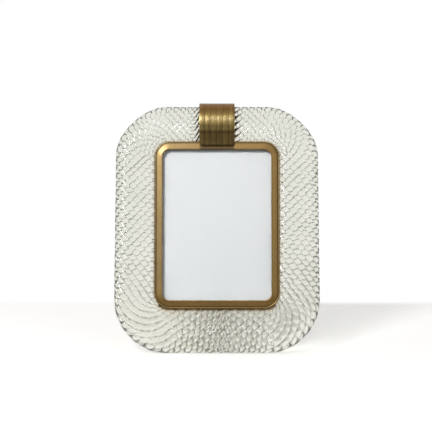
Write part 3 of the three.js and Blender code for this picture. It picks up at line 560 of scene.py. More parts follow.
def card():
    paint = Paint("card")
    fibres = paint.noise(2400, 5.0, 0.7, distortion=0.6)
    cloud = paint.ranged(paint.noise(14, 3.0), 0.3, 0.7)
    colour = paint.mixed(cloud, (0.697, 0.707, 0.733), (0.726, 0.73, 0.752))
    colour = paint.mixed(paint.ranged(fibres, 0.45, 0.75, 0, 0.12), colour, (0.64, 0.66, 0.675))
    return paint.finish(colour, 0.86, shine=0.25, normal=paint.bumped(fibres, 0.00003, 0.4))


def board():
    paint = Paint("board")
    fibres = paint.noise(1.0, 6.0, 0.7, paint.stretched((900, 900, 2600)))
    colour = paint.mixed(paint.ranged(fibres, 0.35, 0.7), (0.36, 0.33, 0.28), (0.27, 0.24, 0.20))
    flecks = paint.ranged(paint.noise(1800, 3.0), 0.62, 0.75, 0, 0.8)
    colour = paint.mixed(flecks, colour, (0.12, 0.10, 0.08))
    return paint.finish(colour, 0.93, shine=0.2, normal=paint.bumped(fibres, 0.00012, 0.6))


def panel_cloth():
    """Dark plain weave with a little fluff. The weave's height comes from two crossed waves."""
    paint = Paint("panel_cloth")
    thread_pitch = 0.0009
    x, _, z = paint.axes(paint.place)
    turns = 2 * math.pi / thread_pitch
    wobble = paint.ranged(paint.noise(160, 2.0), 0, 1, -0.9, 0.9)
    across = paint.maths("ADD", paint.maths("MULTIPLY", x, turns), wobble)
    up = paint.maths("ADD", paint.maths("MULTIPLY", z, turns), wobble)
    over, under = paint.maths("MULTIPLY", up, 0.5), paint.maths("MULTIPLY", across, 0.5)
    warp = paint.maths("MULTIPLY", paint.maths("SINE", across), paint.maths("COSINE", over))
    weft = paint.maths("MULTIPLY", paint.maths("SINE", up), paint.maths("SINE", under))
    fluff = paint.noise(3200, 3.0, 0.6)
    is_warp = paint.maths("GREATER_THAN", warp, weft)
    colour = paint.layered(
        paint.mixed(is_warp, (0.030, 0.024, 0.019), (0.044, 0.036, 0.029)),
        (paint.ranged(paint.noise(26, 4.0), 0.35, 0.7, 0, 0.5), (0.062, 0.052, 0.043)),
        (paint.ranged(fluff, 0.55, 0.75, 0, 0.5), (0.11, 0.095, 0.08)),
    )
    weave = paint.bumped(paint.maths("MAXIMUM", warp, weft), 0.00016, 0.8)
    normal = paint.bumped(fluff, 0.00005, 0.5, weave)
    return paint.finish(colour, 0.94, sheen=0.35, sheen_rough=0.5, shine=0.2, normal=normal)


def felt():
    paint = Paint("felt")
    fluff = paint.noise(2600, 5.0, 0.7, distortion=1.0)
    colour = paint.mixed(paint.ranged(fluff, 0.35, 0.7), (0.085, 0.058, 0.036), (0.15, 0.105, 0.068))
    normal = paint.bumped(fluff, 0.0002, 0.7)
    return paint.finish(colour, 0.97, sheen=0.4, sheen_rough=0.6, shine=0.15, normal=normal)


def rubber():
    paint = Paint("rubber")
    grain = paint.noise(2100, 3.0, 0.6)
    dust = paint.ranged(paint.noise(120, 4.0), 0.45, 0.75, 0, 0.6)
    colour = paint.mixed(dust, (0.72, 0.69, 0.62), (0.62, 0.585, 0.51))
    rough = paint.ranged(grain, 0.3, 0.7, 0.62, 0.8)
    return paint.finish(colour, rough, normal=paint.bumped(grain, 0.00005, 0.5))


# Glass rope

def oval_point(angle):
    cosine, sine = np.cos(angle), np.sin(angle)
    power = 2 / ROPE_SQUARENESS
    across = np.sign(cosine) * np.abs(cosine) ** power
    depth = np.abs(sine) ** power
    y = np.where(sine > 0, ROPE_BACK_SHARE * depth, -ROPE_FRONT_SHARE * depth)
    return np.stack([across, y], axis=-1)


OVAL = oval_point(np.linspace(0, 2 * np.pi, 2881))
OVAL_SHARE = lengths_along(OVAL) / lengths_along(OVAL)[-1]


def oval_at(share):
    return points_along(OVAL, OVAL_SHARE, share % 1)


def oval_normal(share):
    """Outward unit normals, to the right of the way round."""
    return -left_of(oval_at(share + 0.002) - oval_at(share - 0.002))


def rope_line():
    """Middle line of the rope from the middle of the top, clockwise: x, z and its outward direction."""
    half_height = (ROPE_TOP_CENTRE_Z - ROPE_BOTTOM_HALF) / 2
    middle = (ROPE_TOP_CENTRE_Z + ROPE_BOTTOM_HALF) / 2
    corner_x, corner_z = ROPE_CENTRE_X - ROPE_CORNER_RADIUS, half_height - ROPE_CORNER_RADIUS
    part = np.linspace(0, 1, 121)[1:]
    x, z, normal = [np.array([0.0])], [np.array([half_height])], [np.array([np.pi / 2])]
    turn = np.pi / 2
    ends = [(corner_x, half_height), (ROPE_CENTRE_X, -corner_z), (-corner_x, -half_height)]
    ends += [(-ROPE_CENTRE_X, corner_z), (0.0, half_height)]
    corners = [(side_x * corner_x, side_z * corner_z) for side_x, side_z in CORNERS[1:] + CORNERS[:1]]
    for place, end in enumerate(ends):
        x.append(x[-1][-1] + part * (end[0] - x[-1][-1]))
        z.append(z[-1][-1] + part * (end[1] - z[-1][-1]))
        normal.append(np.full(len(part), turn))
        if place < len(corners):
            angle = turn - np.pi / 2 * part
            x.append(corners[place][0] + ROPE_CORNER_RADIUS * np.cos(angle))
            z.append(corners[place][1] + ROPE_CORNER_RADIUS * np.sin(angle))
            normal.append(angle)
            turn -= np.pi / 2
    return np.concatenate(x), np.concatenate(z) + middle, np.concatenate(normal)


def rope_stations():
    """Stations at equal steps of twist: x, z, outward direction, reach inwards and outwards, turn."""
    x, z, normal = rope_line()
    along = np.concatenate([[0], np.cumsum(np.hypot(np.diff(x), np.diff(z)))])
    kept = (along > ROPE_END_GAP / 2) & (along < along[-1] - ROPE_END_GAP / 2)
    x, z, normal, along = x[kept], z[kept], normal[kept], along[kept]
    sideways, upright, diagonal = np.cos(normal) ** 2, np.sin(normal) ** 2, np.sin(2 * normal) ** 2
    above = np.sin(normal) > 0
    end_half = np.where(above, ROPE_TOP_HALF, ROPE_BOTTOM_HALF)
    side_outer = ROPE_SIDE_OUTER + ROPE_TAPER * (1 - 2 * z / ROPE_TOP_Z)
    corner_outer = np.where(above, ROPE_TOP_CORNER_OUTER, ROPE_BOTTOM_CORNER_OUTER)
    inner = sideways * ROPE_SIDE_INNER + upright * end_half + diagonal * ROPE_CORNER_INNER
    outer = sideways * side_outer + upright * end_half + diagonal * corner_outer
    pitch = RIB_PITCH_BOTTOM + (RIB_PITCH_TOP - RIB_PITCH_BOTTOM) * z / ROPE_TOP_Z
    turn = np.concatenate([[0], np.cumsum(np.diff(along) / (pitch[1:] * RIBS))])
    in_last_turn = np.clip((along - along[-1] + LAST_TURN_START) / LAST_TURN_LENGTH, 0, 1)
    turn += LAST_TURN * in_last_turn ** 2
    wanted = np.linspace(0, turn[-1], ROPE_STATIONS)
    return [np.interp(wanted, turn, values) for values in (x, z, normal, inner, outer, turn)]


def slow_wave(place, size, waves):
    """Smooth random wave between -size and size along a line of places from 0 to 1."""
    total = np.zeros_like(place)
    for wave in range(1, waves + 1):
        total += random.uniform(-1, 1) * np.sin(2 * np.pi * wave * place + random.uniform(0, 2 * np.pi))
    return size * total / np.abs(total).max()


def rib_depth(part, front):
    """Depth below the crest across a rib, up to 1 in its grooves. It is rounder in front."""
    from_crest = np.abs(2 * part - 1)
    rounded = 0.85 * from_crest ** 2 + 0.15 * from_crest ** 6
    broad = 0.3 * from_crest ** 2 + 0.5 * from_crest ** 6
    return broad + (rounded - broad) * front


def beside_lattice(x):
    """How far a place in the bottom run lies outside its even lattice, up to 1 in the corners."""
    return np.clip((np.abs(x - LATTICE_X) - LATTICE_HALF) / 20, 0, 1)


def rope_shading(x, y, z, in_rib):
    """Shares of the painted tints: painted shade in the grooves, painted reflection and painted shadow of
    the bezel beside it, and painted reflection of the collar beside it.
    """
    from_groove = np.tile(np.minimum(in_rib, 1 - in_rib), RIBS)[None]
    front = np.clip(0.5 - y / 8, 0, 1)
    low = np.clip((120 - z) / 60, 0, 1)
    low_corner = low * beside_lattice(x)
    # Painted shade in the grooves: deeper and wider low in front, deepest in the bottom corners.
    depth = 0.12 + 0.12 * np.clip((255 - z) / 30, 0, 1) + (0.12 + 0.5 * low + 0.3 * low_corner) * front
    width = 0.08 + 0.065 * low * front
    groove_shade = np.exp(-(from_groove / width) ** 2) * np.minimum(depth, 1)
    beside_x = np.maximum(np.abs(x) - (MOULDING_HALF[0] - RIM_RADIUS), 0)
    beside_z = np.maximum(np.abs(z - BEZEL_CENTRE_Z) - (MOULDING_HALF[1] - RIM_RADIUS), 0)
    from_bezel = np.hypot(beside_x, beside_z) - RIM_RADIUS
    below = z < BEZEL_CENTRE_Z - MOULDING_HALF[1] + 4
    reach, share, fade = np.where(below, 2.7, 0.9), np.where(below, 0.95, 0.5), np.where(below, 4.5, 3)
    # Painted shadow where the glass runs under the bezel's edge, wider below the bottom bar and toothed by
    # the ribs.
    contact_shadow = np.clip(reach + 0.7 * (1 - 2 * from_groove) - from_bezel, 0, 1) * front
    # Painted warm reflection of the bezel's brass in the glass beside it, strongest below the bottom bar.
    bezel_reflection = np.clip(1.4 - from_bezel / fade, 0, 1) * share * front
    # Painted dark reflection of the collar in the grooves beside it, wider at its right.
    from_collar = np.clip((np.abs(x) - COLLAR_WIDTH / 2) / 11, 0, 1)
    half_width = np.where(x > 0, 0.26, 0.15) * (1 - from_collar) * (z > COLLAR_FOOT_Z)
    collar_reflection = np.clip((half_width - from_groove) / 0.05, 0, 1) * front
    return {"groove_shade": groove_shade, "bezel_reflection": bezel_reflection, "contact_shadow": contact_shadow, "collar_reflection": collar_reflection}


def rope_mesh():
    """The twisted rope in its place, its ribs a little uneven and ground flat at the table."""
    x, z, normal, inner, outer, turn = rope_stations()
    in_rib = np.array([0, 0.03, 0.07, 0.13, 0.22, 0.35, 0.5, 0.65, 0.78, 0.87, 0.93, 0.97])
    place = np.linspace(0, 1, len(x))
    turn = turn + slow_wave(place, 0.006, 9) + slow_wave(place, 0.0025, 60)
    starts = [rib + slow_wave(place, 0.10, 10) + slow_wave(place, 0.10, 70) for rib in range(RIBS)]
    starts.append(starts[0] + RIBS)
    share = np.concatenate([
        (start[:, None] + (after - start)[:, None] * in_rib) / RIBS + turn[:, None]
        for start, after in zip(starts[:-1], starts[1:])
    ], axis=1)
    uneven = [slow_wave(place, 0.12, 12) + slow_wave(place, 0.08, 80) for _ in range(RIBS)]
    height = 1 + np.repeat(np.stack(uneven, axis=1), len(in_rib), axis=1)
    thin = 1 - 0.006 * (1 + slow_wave(place, 1.0, 14))[:, None]
    half = ((inner + outer) / 2)[:, None] * thin
    shift = ((outer - inner) / 2)[:, None]
    flat = oval_at(share)
    facing = oval_normal(share)
    front = np.clip(0.5 - flat[..., 1] / 0.3, 0, 1)
    behind = np.clip((flat[..., 1] - 0.08) / 0.15, 0, 1)
    limb = np.clip((flat[..., 0] - 0.86) / 0.1, 0, 1)
    low = np.clip((95 - z) / 45, 0, 1)[:, None]
    low_corner = low * beside_lattice(x)[:, None]
    high = np.clip((z - 225) / 25, 0, 1)[:, None]
    shallow_behind = 1 - (0.75 * low_corner + 0.25 * high) * behind
    height = height * (1.2 + 0.5 * low) * shallow_behind * (1 - 0.5 * limb)
    depth = rib_depth(np.tile(in_rib, RIBS)[None], np.maximum(front, low))
    sink = RIB_CREST_SINK + RIB_HEIGHT * height * depth
    out = shift + half * flat[..., 0] - sink * facing[..., 0]
    back = half * flat[..., 1] - sink * facing[..., 1]
    points = np.stack([
        x[:, None] + out * np.cos(normal)[:, None],
        back,
        z[:, None] + out * np.sin(normal)[:, None],
    ], axis=-1)
    mesh = fanned_mesh(points, [points[0].mean(axis=0), points[-1].mean(axis=0)])
    for name, values in rope_shading(*np.moveaxis(points, -1, 0), in_rib).items():
        shade_points(mesh, name, np.append(values.ravel(), [0, 0]))
    mesh.transform(to_frame)
    place = np.empty(len(mesh.vertices) * 3)
    mesh.vertices.foreach_get("co", place)
    place[2::3] = np.maximum(place[2::3], 0.0)
    mesh.vertices.foreach_set("co", place)
    mesh.update()
    return mesh


# Bezel and collar

def face_rise(out):
    """Height of the moulding's falling face over its back, at a distance out from the opening."""
    return MOULDING_RISE - FACE_FALL * (out - LIP_WIDTH) / (MOULDING_WIDTH - BEAD_WIDTH - LIP_WIDTH)


def bezel_mesh():
    """Moulding with a falling face and a bead, and its rebate wall, as one skin with patina and painted
    shade in its hollows.
    """
    rows, grime_and_shade = [], []

    # dark is each row's share of patina and painted shade, most in the crease before the bead, under the
    # bead, at the outer edge and in the rebate.
    def add(half, radius, y, dark=0.0):
        outline = rounded_outline(half, radius, 16, (0, BEZEL_CENTRE_Z))
        rows.append(np.insert(outline, 1, y, axis=1))
        grime_and_shade.append(dark)

    def add_moulding(out, y, dark):
        add((OPENING_HALF[0] + out, OPENING_HALF[1] + out), OPENING_RADIUS + out, y, dark)

    add_moulding(0.25, REBATE_FACE_Y, 0.6)
    add_moulding(0, REBATE_FACE_Y - 0.25, 0.7)
    add_moulding(0, MOULDING_BACK_Y, 0.6)
    steps = 7
    for step in range(steps + 1):
        angle = math.pi / 2 * step / steps
        depth = LIP_WIDTH * (1 - math.sin(angle))
        dark = 0.45 * (1 - step / steps)
        add_moulding(LIP_WIDTH * (1 - math.cos(angle)), MOULDING_BACK_Y - MOULDING_RISE + depth, dark)
    face_end = MOULDING_WIDTH - BEAD_WIDTH
    for part, dark in ((0.2, 0), (0.4, 0), (0.6, 0), (0.8, 0.2), (0.9, 0.8), (1, 1.0)):
        out = LIP_WIDTH + (face_end - LIP_WIDTH) * part
        hollow = 0.12 * math.sin(math.pi * part) * (1 - part)
        add_moulding(out, MOULDING_BACK_Y - face_rise(out) + hollow, dark)
    bead_radius = BEAD_WIDTH / 2
    bead_top = face_rise(face_end) + BEAD_RISE
    for step in range(1, 2 * steps + 1):
        angle = math.pi / 2 * step / steps
        depth = (BEAD_RISE if step < steps else bead_radius) * (1 - math.sin(angle))
        dark = 0.9 * max(0.0, 1 - step / 4) + 0.95 * min(1.0, max(0.0, (step - 8) / 3))
        out = face_end + bead_radius * (1 - math.cos(angle))
        add_moulding(out, MOULDING_BACK_Y - bead_top + depth, dark)
    add_moulding(MOULDING_WIDTH, MOULDING_BACK_Y - 0.1, 0.9)
    add_moulding(MOULDING_WIDTH - 0.2, MOULDING_BACK_Y + 0.12, 0.9)
    add(WALL_HALF, WALL_RADIUS, MOULDING_BACK_Y + 0.12, 0.2)
    add(WALL_HALF, WALL_RADIUS, WALL_BACK_Y - 0.2)
    add((WALL_HALF[0] - 0.2, WALL_HALF[1] - 0.2), WALL_RADIUS - 0.2, WALL_BACK_Y)
    add((REBATE_HALF[0] + 0.2, REBATE_HALF[1] + 0.2), REBATE_RADIUS + 0.2, WALL_BACK_Y)
    add(REBATE_HALF, REBATE_RADIUS, WALL_BACK_Y - 0.2, 0.3)
    add(REBATE_HALF, REBATE_RADIUS, REBATE_FACE_Y, 0.7)
    count = len(rows[0])
    points = np.concatenate(rows)
    mesh = mesh_from(points, grid_faces(len(rows), count, closed=True))
    # The top bar, lit from above, gets half the painted shade.
    in_top_bar = np.clip((points[:, 2] - BEZEL_CENTRE_Z - OPENING_HALF[1]) / 4, 0, 1)
    shade_points(mesh, "grime_and_shade", np.repeat(grime_and_shade, count) * (1 - 0.5 * in_top_bar))
    return mesh


def rope_wrap(lift, start, end, steps):
    """Line lifted off the rope's top run as [y, z], between two shares of the way round."""
    share = np.linspace(start, end, steps + 1)
    place, normal = oval_at(share), oval_normal(share)
    y = ROPE_TOP_HALF * place[:, 1] + lift * normal[:, 1]
    z = ROPE_TOP_CENTRE_Z + ROPE_TOP_HALF * place[:, 0] + lift * normal[:, 0]
    return np.stack([y, z], axis=1)


def collar_line():
    """Inner line of the collar as [y, z], from the bezel's front over the rope to the rear rim."""
    front_y = MOULDING_BACK_Y - face_rise(MOULDING_WIDTH - COLLAR_LAP) - GAP
    top_z = BEZEL_CENTRE_Z + MOULDING_HALF[1]
    rear_y = COLLAR_REAR_Y
    start = [[front_y, COLLAR_FOOT_Z], [front_y - 0.4, top_z]]
    end = [[rear_y + 0.2, top_z + 0.4], [rear_y, top_z - 0.4], [rear_y, COLLAR_FOOT_Z]]
    line = np.vstack([start, rope_wrap(2 * GAP + LINER_THICKNESS, *COLLAR_WRAP, 60), end])
    length = lengths_along(line)
    line = points_along(line, length, np.linspace(0, length[-1], int(length[-1] / 0.9) + 1))
    for _ in range(3):
        line = np.vstack([line[:1], (line[:-2] + 2 * line[1:-1] + line[2:]) / 4, line[-1:]])
    return line


def collar_mesh():
    """Reeded band with rounded corners, and each point's place across and along it for its brass."""
    line = collar_line()
    length = lengths_along(line)
    out = left_of(np.gradient(line, axis=0))
    x = np.linspace(-COLLAR_WIDTH / 2, COLLAR_WIDTH / 2, REEDS * REED_COLUMNS + 1)
    reed = np.abs(np.sin(np.pi * np.arange(len(x)) / REED_COLUMNS))
    crown = np.repeat(random.uniform(0.06, 0.32, REEDS), REED_COLUMNS)
    crown = np.append(crown, crown[-1])
    edge = np.clip((COLLAR_WIDTH / 2 - np.abs(x)) / 0.6, 0, 1)
    height = COLLAR_THICKNESS - 0.25 * (1 - edge) ** 2 + REED_HEIGHT * crown * reed
    beyond = np.clip(np.abs(x) - (COLLAR_WIDTH / 2 - COLLAR_CORNER_RADIUS), 0, None)
    cut = COLLAR_CORNER_RADIUS - np.sqrt(np.maximum(COLLAR_CORNER_RADIUS ** 2 - beyond ** 2, 0))
    points, across, along, grime_and_shade = [], [], [], []
    for row in range(COLLAR_ROWS + 1):
        ends = min(row, COLLAR_ROWS - row)
        softened = 0.35 * (1 - min(ends / 2, 1)) ** 2
        place = cut + (length[-1] - 2 * cut) * row / COLLAR_ROWS
        base = points_along(line, length, place)
        lifted = base + points_along(out, length, place) * (height - softened)[:, None]
        points += [np.column_stack([x, lifted]), np.column_stack([x[::-1], base[::-1]])]
        across += [x, x[::-1]]
        along += [place, place[::-1]]
        # Patina and painted shade in the grooves between the reeds, and on the side that lies on the liner.
        grime_and_shade += [0.3 * (1 - reed) ** 3, np.full(len(x), 0.5)]
    columns = 2 * len(x)
    faces = grid_faces(COLLAR_ROWS + 1, columns)
    for base in (0, COLLAR_ROWS * columns):
        for column in range(len(x) - 1):
            lower = base + columns - 1 - column
            faces.append([base + column, base + column + 1, lower - 1, lower])
    mesh = mesh_from(np.vstack(points), faces)
    shade_points(mesh, "across", np.concatenate(across))
    shade_points(mesh, "along", np.concatenate(along))
    shade_points(mesh, "grime_and_shade", np.concatenate(grime_and_shade) * 0.85)
    return mesh


def liner_mesh():
    """Felt strip between the collar and the glass, with its flat length."""
    line = rope_wrap(GAP, LINER_WRAP[0] + LINER_INSET, LINER_WRAP[1] - LINER_INSET, 70)
    lifted = line + left_of(np.gradient(line, axis=0)) * LINER_THICKNESS
    half, bulge = LINER_WIDTH / 2, 0.2
    section = [(half, 0), (0, 0), (-half, 0), (-half - bulge, 0.5)]
    section += [(-half, 1), (0, 1), (half, 1), (half + bulge, 0.5)]
    points = []
    for lower, upper in zip(line, lifted):
        points += [(x, *(lower + (upper - lower) * share)) for x, share in section]
    return tube_mesh(points, len(section)), float(lengths_along(line)[-1])


# Metal parts at the back

def four_places(x, rise, centre_z=BEZEL_CENTRE_Z):
    return [(side_x * x, side_z * rise + centre_z) for side_x, side_z in CORNERS]


def rim_screw_places():
    """In the middle of the bezel's wall, on its corners' diagonals."""
    share = 1 - math.sqrt(0.5)
    radii = (REBATE_RADIUS + WALL_RADIUS) * share
    return four_places(*((REBATE_HALF[axis] + WALL_HALF[axis] - radii) / 2 for axis in (0, 1)))


def pivot_places():
    return four_places(PIVOT_X, PIVOT_RISE)


def collar_screw_places():
    z = (COLLAR_FOOT_Z + BEZEL_CENTRE_Z + MOULDING_HALF[1]) / 2
    return [(-COLLAR_WIDTH / 4, z), (COLLAR_WIDTH / 4, z)]


def hinge_screw_places():
    return four_places(HINGE_SCREW_X, HINGE_SCREW_RISE, HINGE_AXIS[1] - HINGE_PLATE_DROP)


def bores(places, radius=SCREW_HOLE_RADIUS):
    return [circle_outline(place, radius) for place in places]


def with_screw_holes(mesh, places, start_y):
    """The mesh with blind screw holes that start at start_y and run backwards."""
    radius, depth = SCREW_HOLE_RADIUS, SCREW_HOLE_DEPTH
    profile = [(0, 0), (radius, 0), (radius, depth), (0, depth)]
    cutters = [moved(turned_mesh(profile, 20), x, start_y, z) for x, z in places]
    return combined(mesh, cutters, "DIFFERENCE")


def screw_mesh(x, z, seat_y, length):
    """Slotted pan-head screw with turned threads."""
    shank, head, height, brim, pitch = 0.9, 1.8, 1.1, 0.42, 0.5
    profile = [(0, -length), (0.35, -length), (0.62, -length + 0.5)]
    for thread in range(int((length - 1.2) / pitch)):
        start = -length + 0.8 + thread * pitch
        profile += [(shank - 0.18, start), (shank, start + 0.25)]
    profile += [(shank - 0.18, -0.1), (shank - 0.1, 0), (head - 0.08, 0), (head, 0.08), (head, brim)]
    for step in range(1, 7):
        angle = math.pi / 2 * step / 7
        radius = head * (1 - 0.62 * (1 - math.cos(angle)))
        profile.append((radius, brim + (height - brim) * math.sin(angle)))
    profile += [(0.4, height), (0, height)]
    slot = box_mesh((5, 1, 0.5), (0, height - 0.45 + 0.5, 0))
    body = combined(turned_mesh(profile), [slot], "DIFFERENCE")
    return moved(body, x, seat_y, z, (x + z) % math.pi)


def stud_mesh(x, z):
    """Headed stud that a turn button swings on."""
    front, seat, shank, head = RIM_FRONT_Y - GAP, 9.5, 1.2, 2.2
    profile = [(0, front), (1.0, front), (shank, front + 0.2), (shank, seat)]
    profile += [(2.12, seat), (head, seat + 0.1)]
    for step in range(1, 9):
        angle = math.pi / 2 * step / 9
        profile.append((head * math.cos(angle), seat + 0.1 + 0.7 * math.sin(angle)))
    profile.append((0, seat + 0.8))
    return moved(turned_mesh(profile), x, 0, z)


def button_mesh(x, z):
    """Flat turn button with a narrower rounded tip, pointing inwards from its stud."""
    tip_x, pivot_radius, tip_radius, steps = 16, 2.9, 2.2, 16
    outline = []
    for centre_x, radius, start in ((0, pivot_radius, -math.pi / 2), (tip_x, tip_radius, math.pi / 2)):
        for step in range(steps + 1):
            angle = start - math.pi * step / steps
            outline.append((centre_x + radius * math.cos(angle), radius * math.sin(angle)))
    mesh = plate_mesh(np.array(outline), bores([(0, 0)], PIVOT_HOLE_RADIUS), 0, 1.0, 0.22)
    return moved(mesh, x, RIM_BACK_Y + GAP, z, math.pi if x > 0 else 0.0)


def hinge_plate_mesh():
    """Screwed plate with the two lugs that hold the pin."""
    axis_y, axis_z = HINGE_AXIS
    holes, centre_z = bores(hinge_screw_places()), axis_z - HINGE_PLATE_DROP
    plate = rounded_plate(HINGE_PLATE_HALF, 4, HINGE_PLATE_Y, 0.2, holes, centre_z)
    angles = [math.pi * step / 20 for step in range(21)]
    round_end = [(axis_y + LUG_RADIUS * math.sin(a), axis_z + LUG_RADIUS * math.cos(a)) for a in angles]
    root = HINGE_PLATE_Y[1] - 0.4
    outline = np.array([(root, axis_z + LUG_RADIUS), *round_end, (root, axis_z - LUG_RADIUS)])
    hole = circle_outline(HINGE_AXIS, LUG_HOLE_RADIUS)
    lugs = [
        plate_mesh(outline, [hole], start, LUG_WIDTH, 0.18, axes="yzx")
        for start in (-LEG_TOP_HALF - 0.5 - LUG_WIDTH, LEG_TOP_HALF + 0.5)
    ]
    return combined(plate, lugs, "UNION")


def pin_mesh():
    """Steel pin with domed ends, along x."""
    end = [(0, 0), (0.7, 0.05), (1.15, 0.25), (PIN_RADIUS, 0.6)]
    profile = [(radius, inset - PIN_HALF) for radius, inset in end]
    profile += [(radius, PIN_HALF - inset) for radius, inset in reversed(end)]
    mesh = turned_mesh(profile)
    mesh.transform(Matrix.Translation((0, *HINGE_AXIS)) @ Matrix.Rotation(math.pi / 2, 4, "Z"))
    return mesh


def leg_mesh():
    """Sheet brass leg with a rolled knuckle and two stiffening folds, hanging from the hinge axis."""
    top, foot, shoulder, heel = LEG_TOP_HALF, LEG_FOOT_HALF, -10, 5.5
    foot_z, end_z, rows = -leg_length + 4, -leg_length + 10.3, 41
    outline = np.array([
        (-top, heel), (top, heel), (top, shoulder), (foot, foot_z), (-foot, foot_z), (-top, shoulder),
    ])
    plate = plate_mesh(outline, [], -1, 2, 0.25)
    parts = [plate_mesh(circle_outline((0, 0), 3, 40), [], -top, 2 * top, 0.2, axes="yzx")]
    for side in (-1, 1):
        rings = []
        for z in (shoulder + (end_z - shoulder) * row / (rows - 1) for row in range(rows)):
            edge = top + (foot - top) * (z - shoulder) / (foot_z - shoulder) - 0.02
            ends = min(abs(z - shoulder), abs(z - end_z)) / 6
            back = 0.9 + 3 * min(1, math.sin(math.pi / 2 * min(ends, 1)))
            fold = [(0, 0), (0, back - 0.3), (0.1, back - 0.08), (0.35, back)]
            fold += [(1.05, back), (1.3, back - 0.08), (1.4, back - 0.3), (1.4, 0)]
            rings += [(side * (edge - inset), depth, z) for inset, depth in fold]
        parts.append(tube_mesh(rings, len(fold)))
    bore = plate_mesh(circle_outline((0, 0), 1.7, 32), [], -20, 40, 0.1, axes="yzx")
    return combined(combined(plate, parts, "UNION"), [bore], "DIFFERENCE")


def shoe_mesh():
    """Rubber shoe with moulded grip lines, its underside level with the table at rest."""
    bottom, top, rows, grip_pitch, grip_depth = -leg_length, -leg_length + SHOE_HEIGHT, 44, 1.6, 0.28
    outline = rounded_outline(SHOE_HALF, 1.6, 6)
    normal = outline_normals(outline)
    low = bottom - 2
    points = []
    for z in (low + (top - low) * row / rows for row in range(rows + 1)):
        inset = 0.5 * max(0.0, 1 - (top - z) / 0.5) ** 2
        if bottom + 1.5 < z < top - 1.2:
            inset += grip_depth * max(0.0, math.cos(2 * math.pi * (z - bottom) / grip_pitch)) ** 3
        points += [(a, b, z) for a, b in outline - normal * inset]
    slot = box_mesh((2 * LEG_FOOT_HALF + 0.6, 2.6, 7), (0, 0, top - 6.3 + 3.5))
    floor = box_mesh((80, 60, 40), (0, 0, -20))
    level = Matrix.Rotation(-math.radians(STAND_LEAN), 4, "X")
    floor.transform(Matrix.Translation((0, 0, -leg_length)) @ level)
    return combined(tube_mesh(points, len(outline)), [slot, floor], "DIFFERENCE")


# The object

frame_brass = brass(
    "frame_brass", (0.53, 0.38, 0.165), (0.385, 0.26, 0.10), (0.20, 0.12, 0.04), 0.31, on_bezel=True)
sheet_brass = brass(
    "sheet_brass", (0.60, 0.42, 0.18), (0.48, 0.33, 0.14), (0.24, 0.15, 0.06), 0.36, brushed=(2200, 60, 60))
dark_brass = brass("dark_brass", (0.40, 0.25, 0.085), (0.26, 0.155, 0.05), (0.10, 0.06, 0.022), 0.38)
screw_steel = steel()

in_place = Matrix.Identity(4)
piece("rope", rope_mesh(), "glass_ring", rope_glass(), place=in_place, smooth_deg=180)
bezel_shape = with_screw_holes(bezel_mesh(), rim_screw_places(), 1.3)
piece("moulding", bezel_shape, "bezel", frame_brass, smooth_deg=50)
piece("band", collar_mesh(), "collar", collar_brass(), smooth_deg=60)
liner_shape, liner_length = liner_mesh()
liner = piece("band_lining", liner_shape, "collar_liner", felt(), smooth_deg=60)

rim_holes = [rounded_outline(RIM_HOLE_HALF, RIM_HOLE_RADIUS, centre=(0, BEZEL_CENTRE_Z))]
rim_holes += bores(rim_screw_places() + collar_screw_places()) + bores(pivot_places(), PIVOT_HOLE_RADIUS)
rim_shape = rounded_plate(MOULDING_HALF, RIM_RADIUS, (RIM_FRONT_Y, RIM_BACK_Y), 0.3, rim_holes)
piece("back_rim", rim_shape, "rear_rim", sheet_brass, smooth_deg=PLATE_DEG)

sheets = [("pane", PANE_Y, "pane_glass", "glazing_pane", pane_glass(), 0.2)]
sheets += [("insert", CARD_Y, "card", "insert_card", card(), 0.1)]
sheets += [("backing", BOARD_Y, "board", "backing_board", board(), 0.15)]
for name, span, slot, stands_for, material, edge in sheets:
    shape = rounded_plate(PANE_HALF, SHEET_RADIUS, span, edge)
    piece(name, shape, stands_for, material, smooth_deg=PLATE_DEG)

panel_shape = rounded_plate(PANEL_HALF, PANEL_RADIUS, PANEL_Y, 1.1)
panel_shape = with_screw_holes(panel_shape, hinge_screw_places(), PANEL_Y[1] - 4.4)
piece("back_panel", panel_shape, "rear_panel", panel_cloth(), smooth_deg=PLATE_DEG)

piece("hinge_leaf", hinge_plate_mesh(), "hinge_plate", sheet_brass, smooth_deg=PLATE_DEG)
piece("pin", pin_mesh(), "hinge_pin", screw_steel)
collar_seat_y = RIM_BACK_Y + 2 * GAP + COLLAR_SCREW_RISE
hinge_seat_y = HINGE_PLATE_Y[1] + GAP
screws = [("rim", "rim_screw", rim_screw_places(), RIM_BACK_Y + GAP, 6, "brass", sheet_brass)]
screws += [("band", "collar_screw", collar_screw_places(), collar_seat_y, 4.6, "aged_brass", dark_brass)]
screws += [("hinge", "hinge_screw", hinge_screw_places(), hinge_seat_y, 5, "brass", sheet_brass)]
for name, node, places, seat_y, length, slot, material in screws:
    for number, (x, z) in enumerate(places, 1):
        shape = screw_mesh(x, z, seat_y, length)
        piece(f"{name}_fixing_{number}", shape, f"{node}_{number}", material)
for number, (x, z) in enumerate(pivot_places(), 1):
    piece(f"stud_{number}", stud_mesh(x, z), f"pivot_stud_{number}", screw_steel)
    name, node, body = f"button_{number}_plate", f"turn_button_{number}", f"button_{number}"
    piece(name, button_mesh(x, z), node, sheet_brass, body, smooth_deg=PLATE_DEG)
piece("leg", leg_mesh(), "strut_leg", lacquer(), "strut", to_strut, PLATE_DEG)
piece("shoe", shoe_mesh(), "strut_shoe", rubber(), "strut", to_strut)


# Floor, light and camera, in metres

# What the camera and the lamps look at
AIM = Vector((-0.0011, -0.0145, 0.1513))
FLOOR_HALF = 4.0
FLOOR_DROP = 0.0002
# The table ends at its back edge and at its reach to the front and the sides
TABLE_BACK_Y = 0.24
TABLE_REACH = 0.55
TABLE_GLOW = 0.24
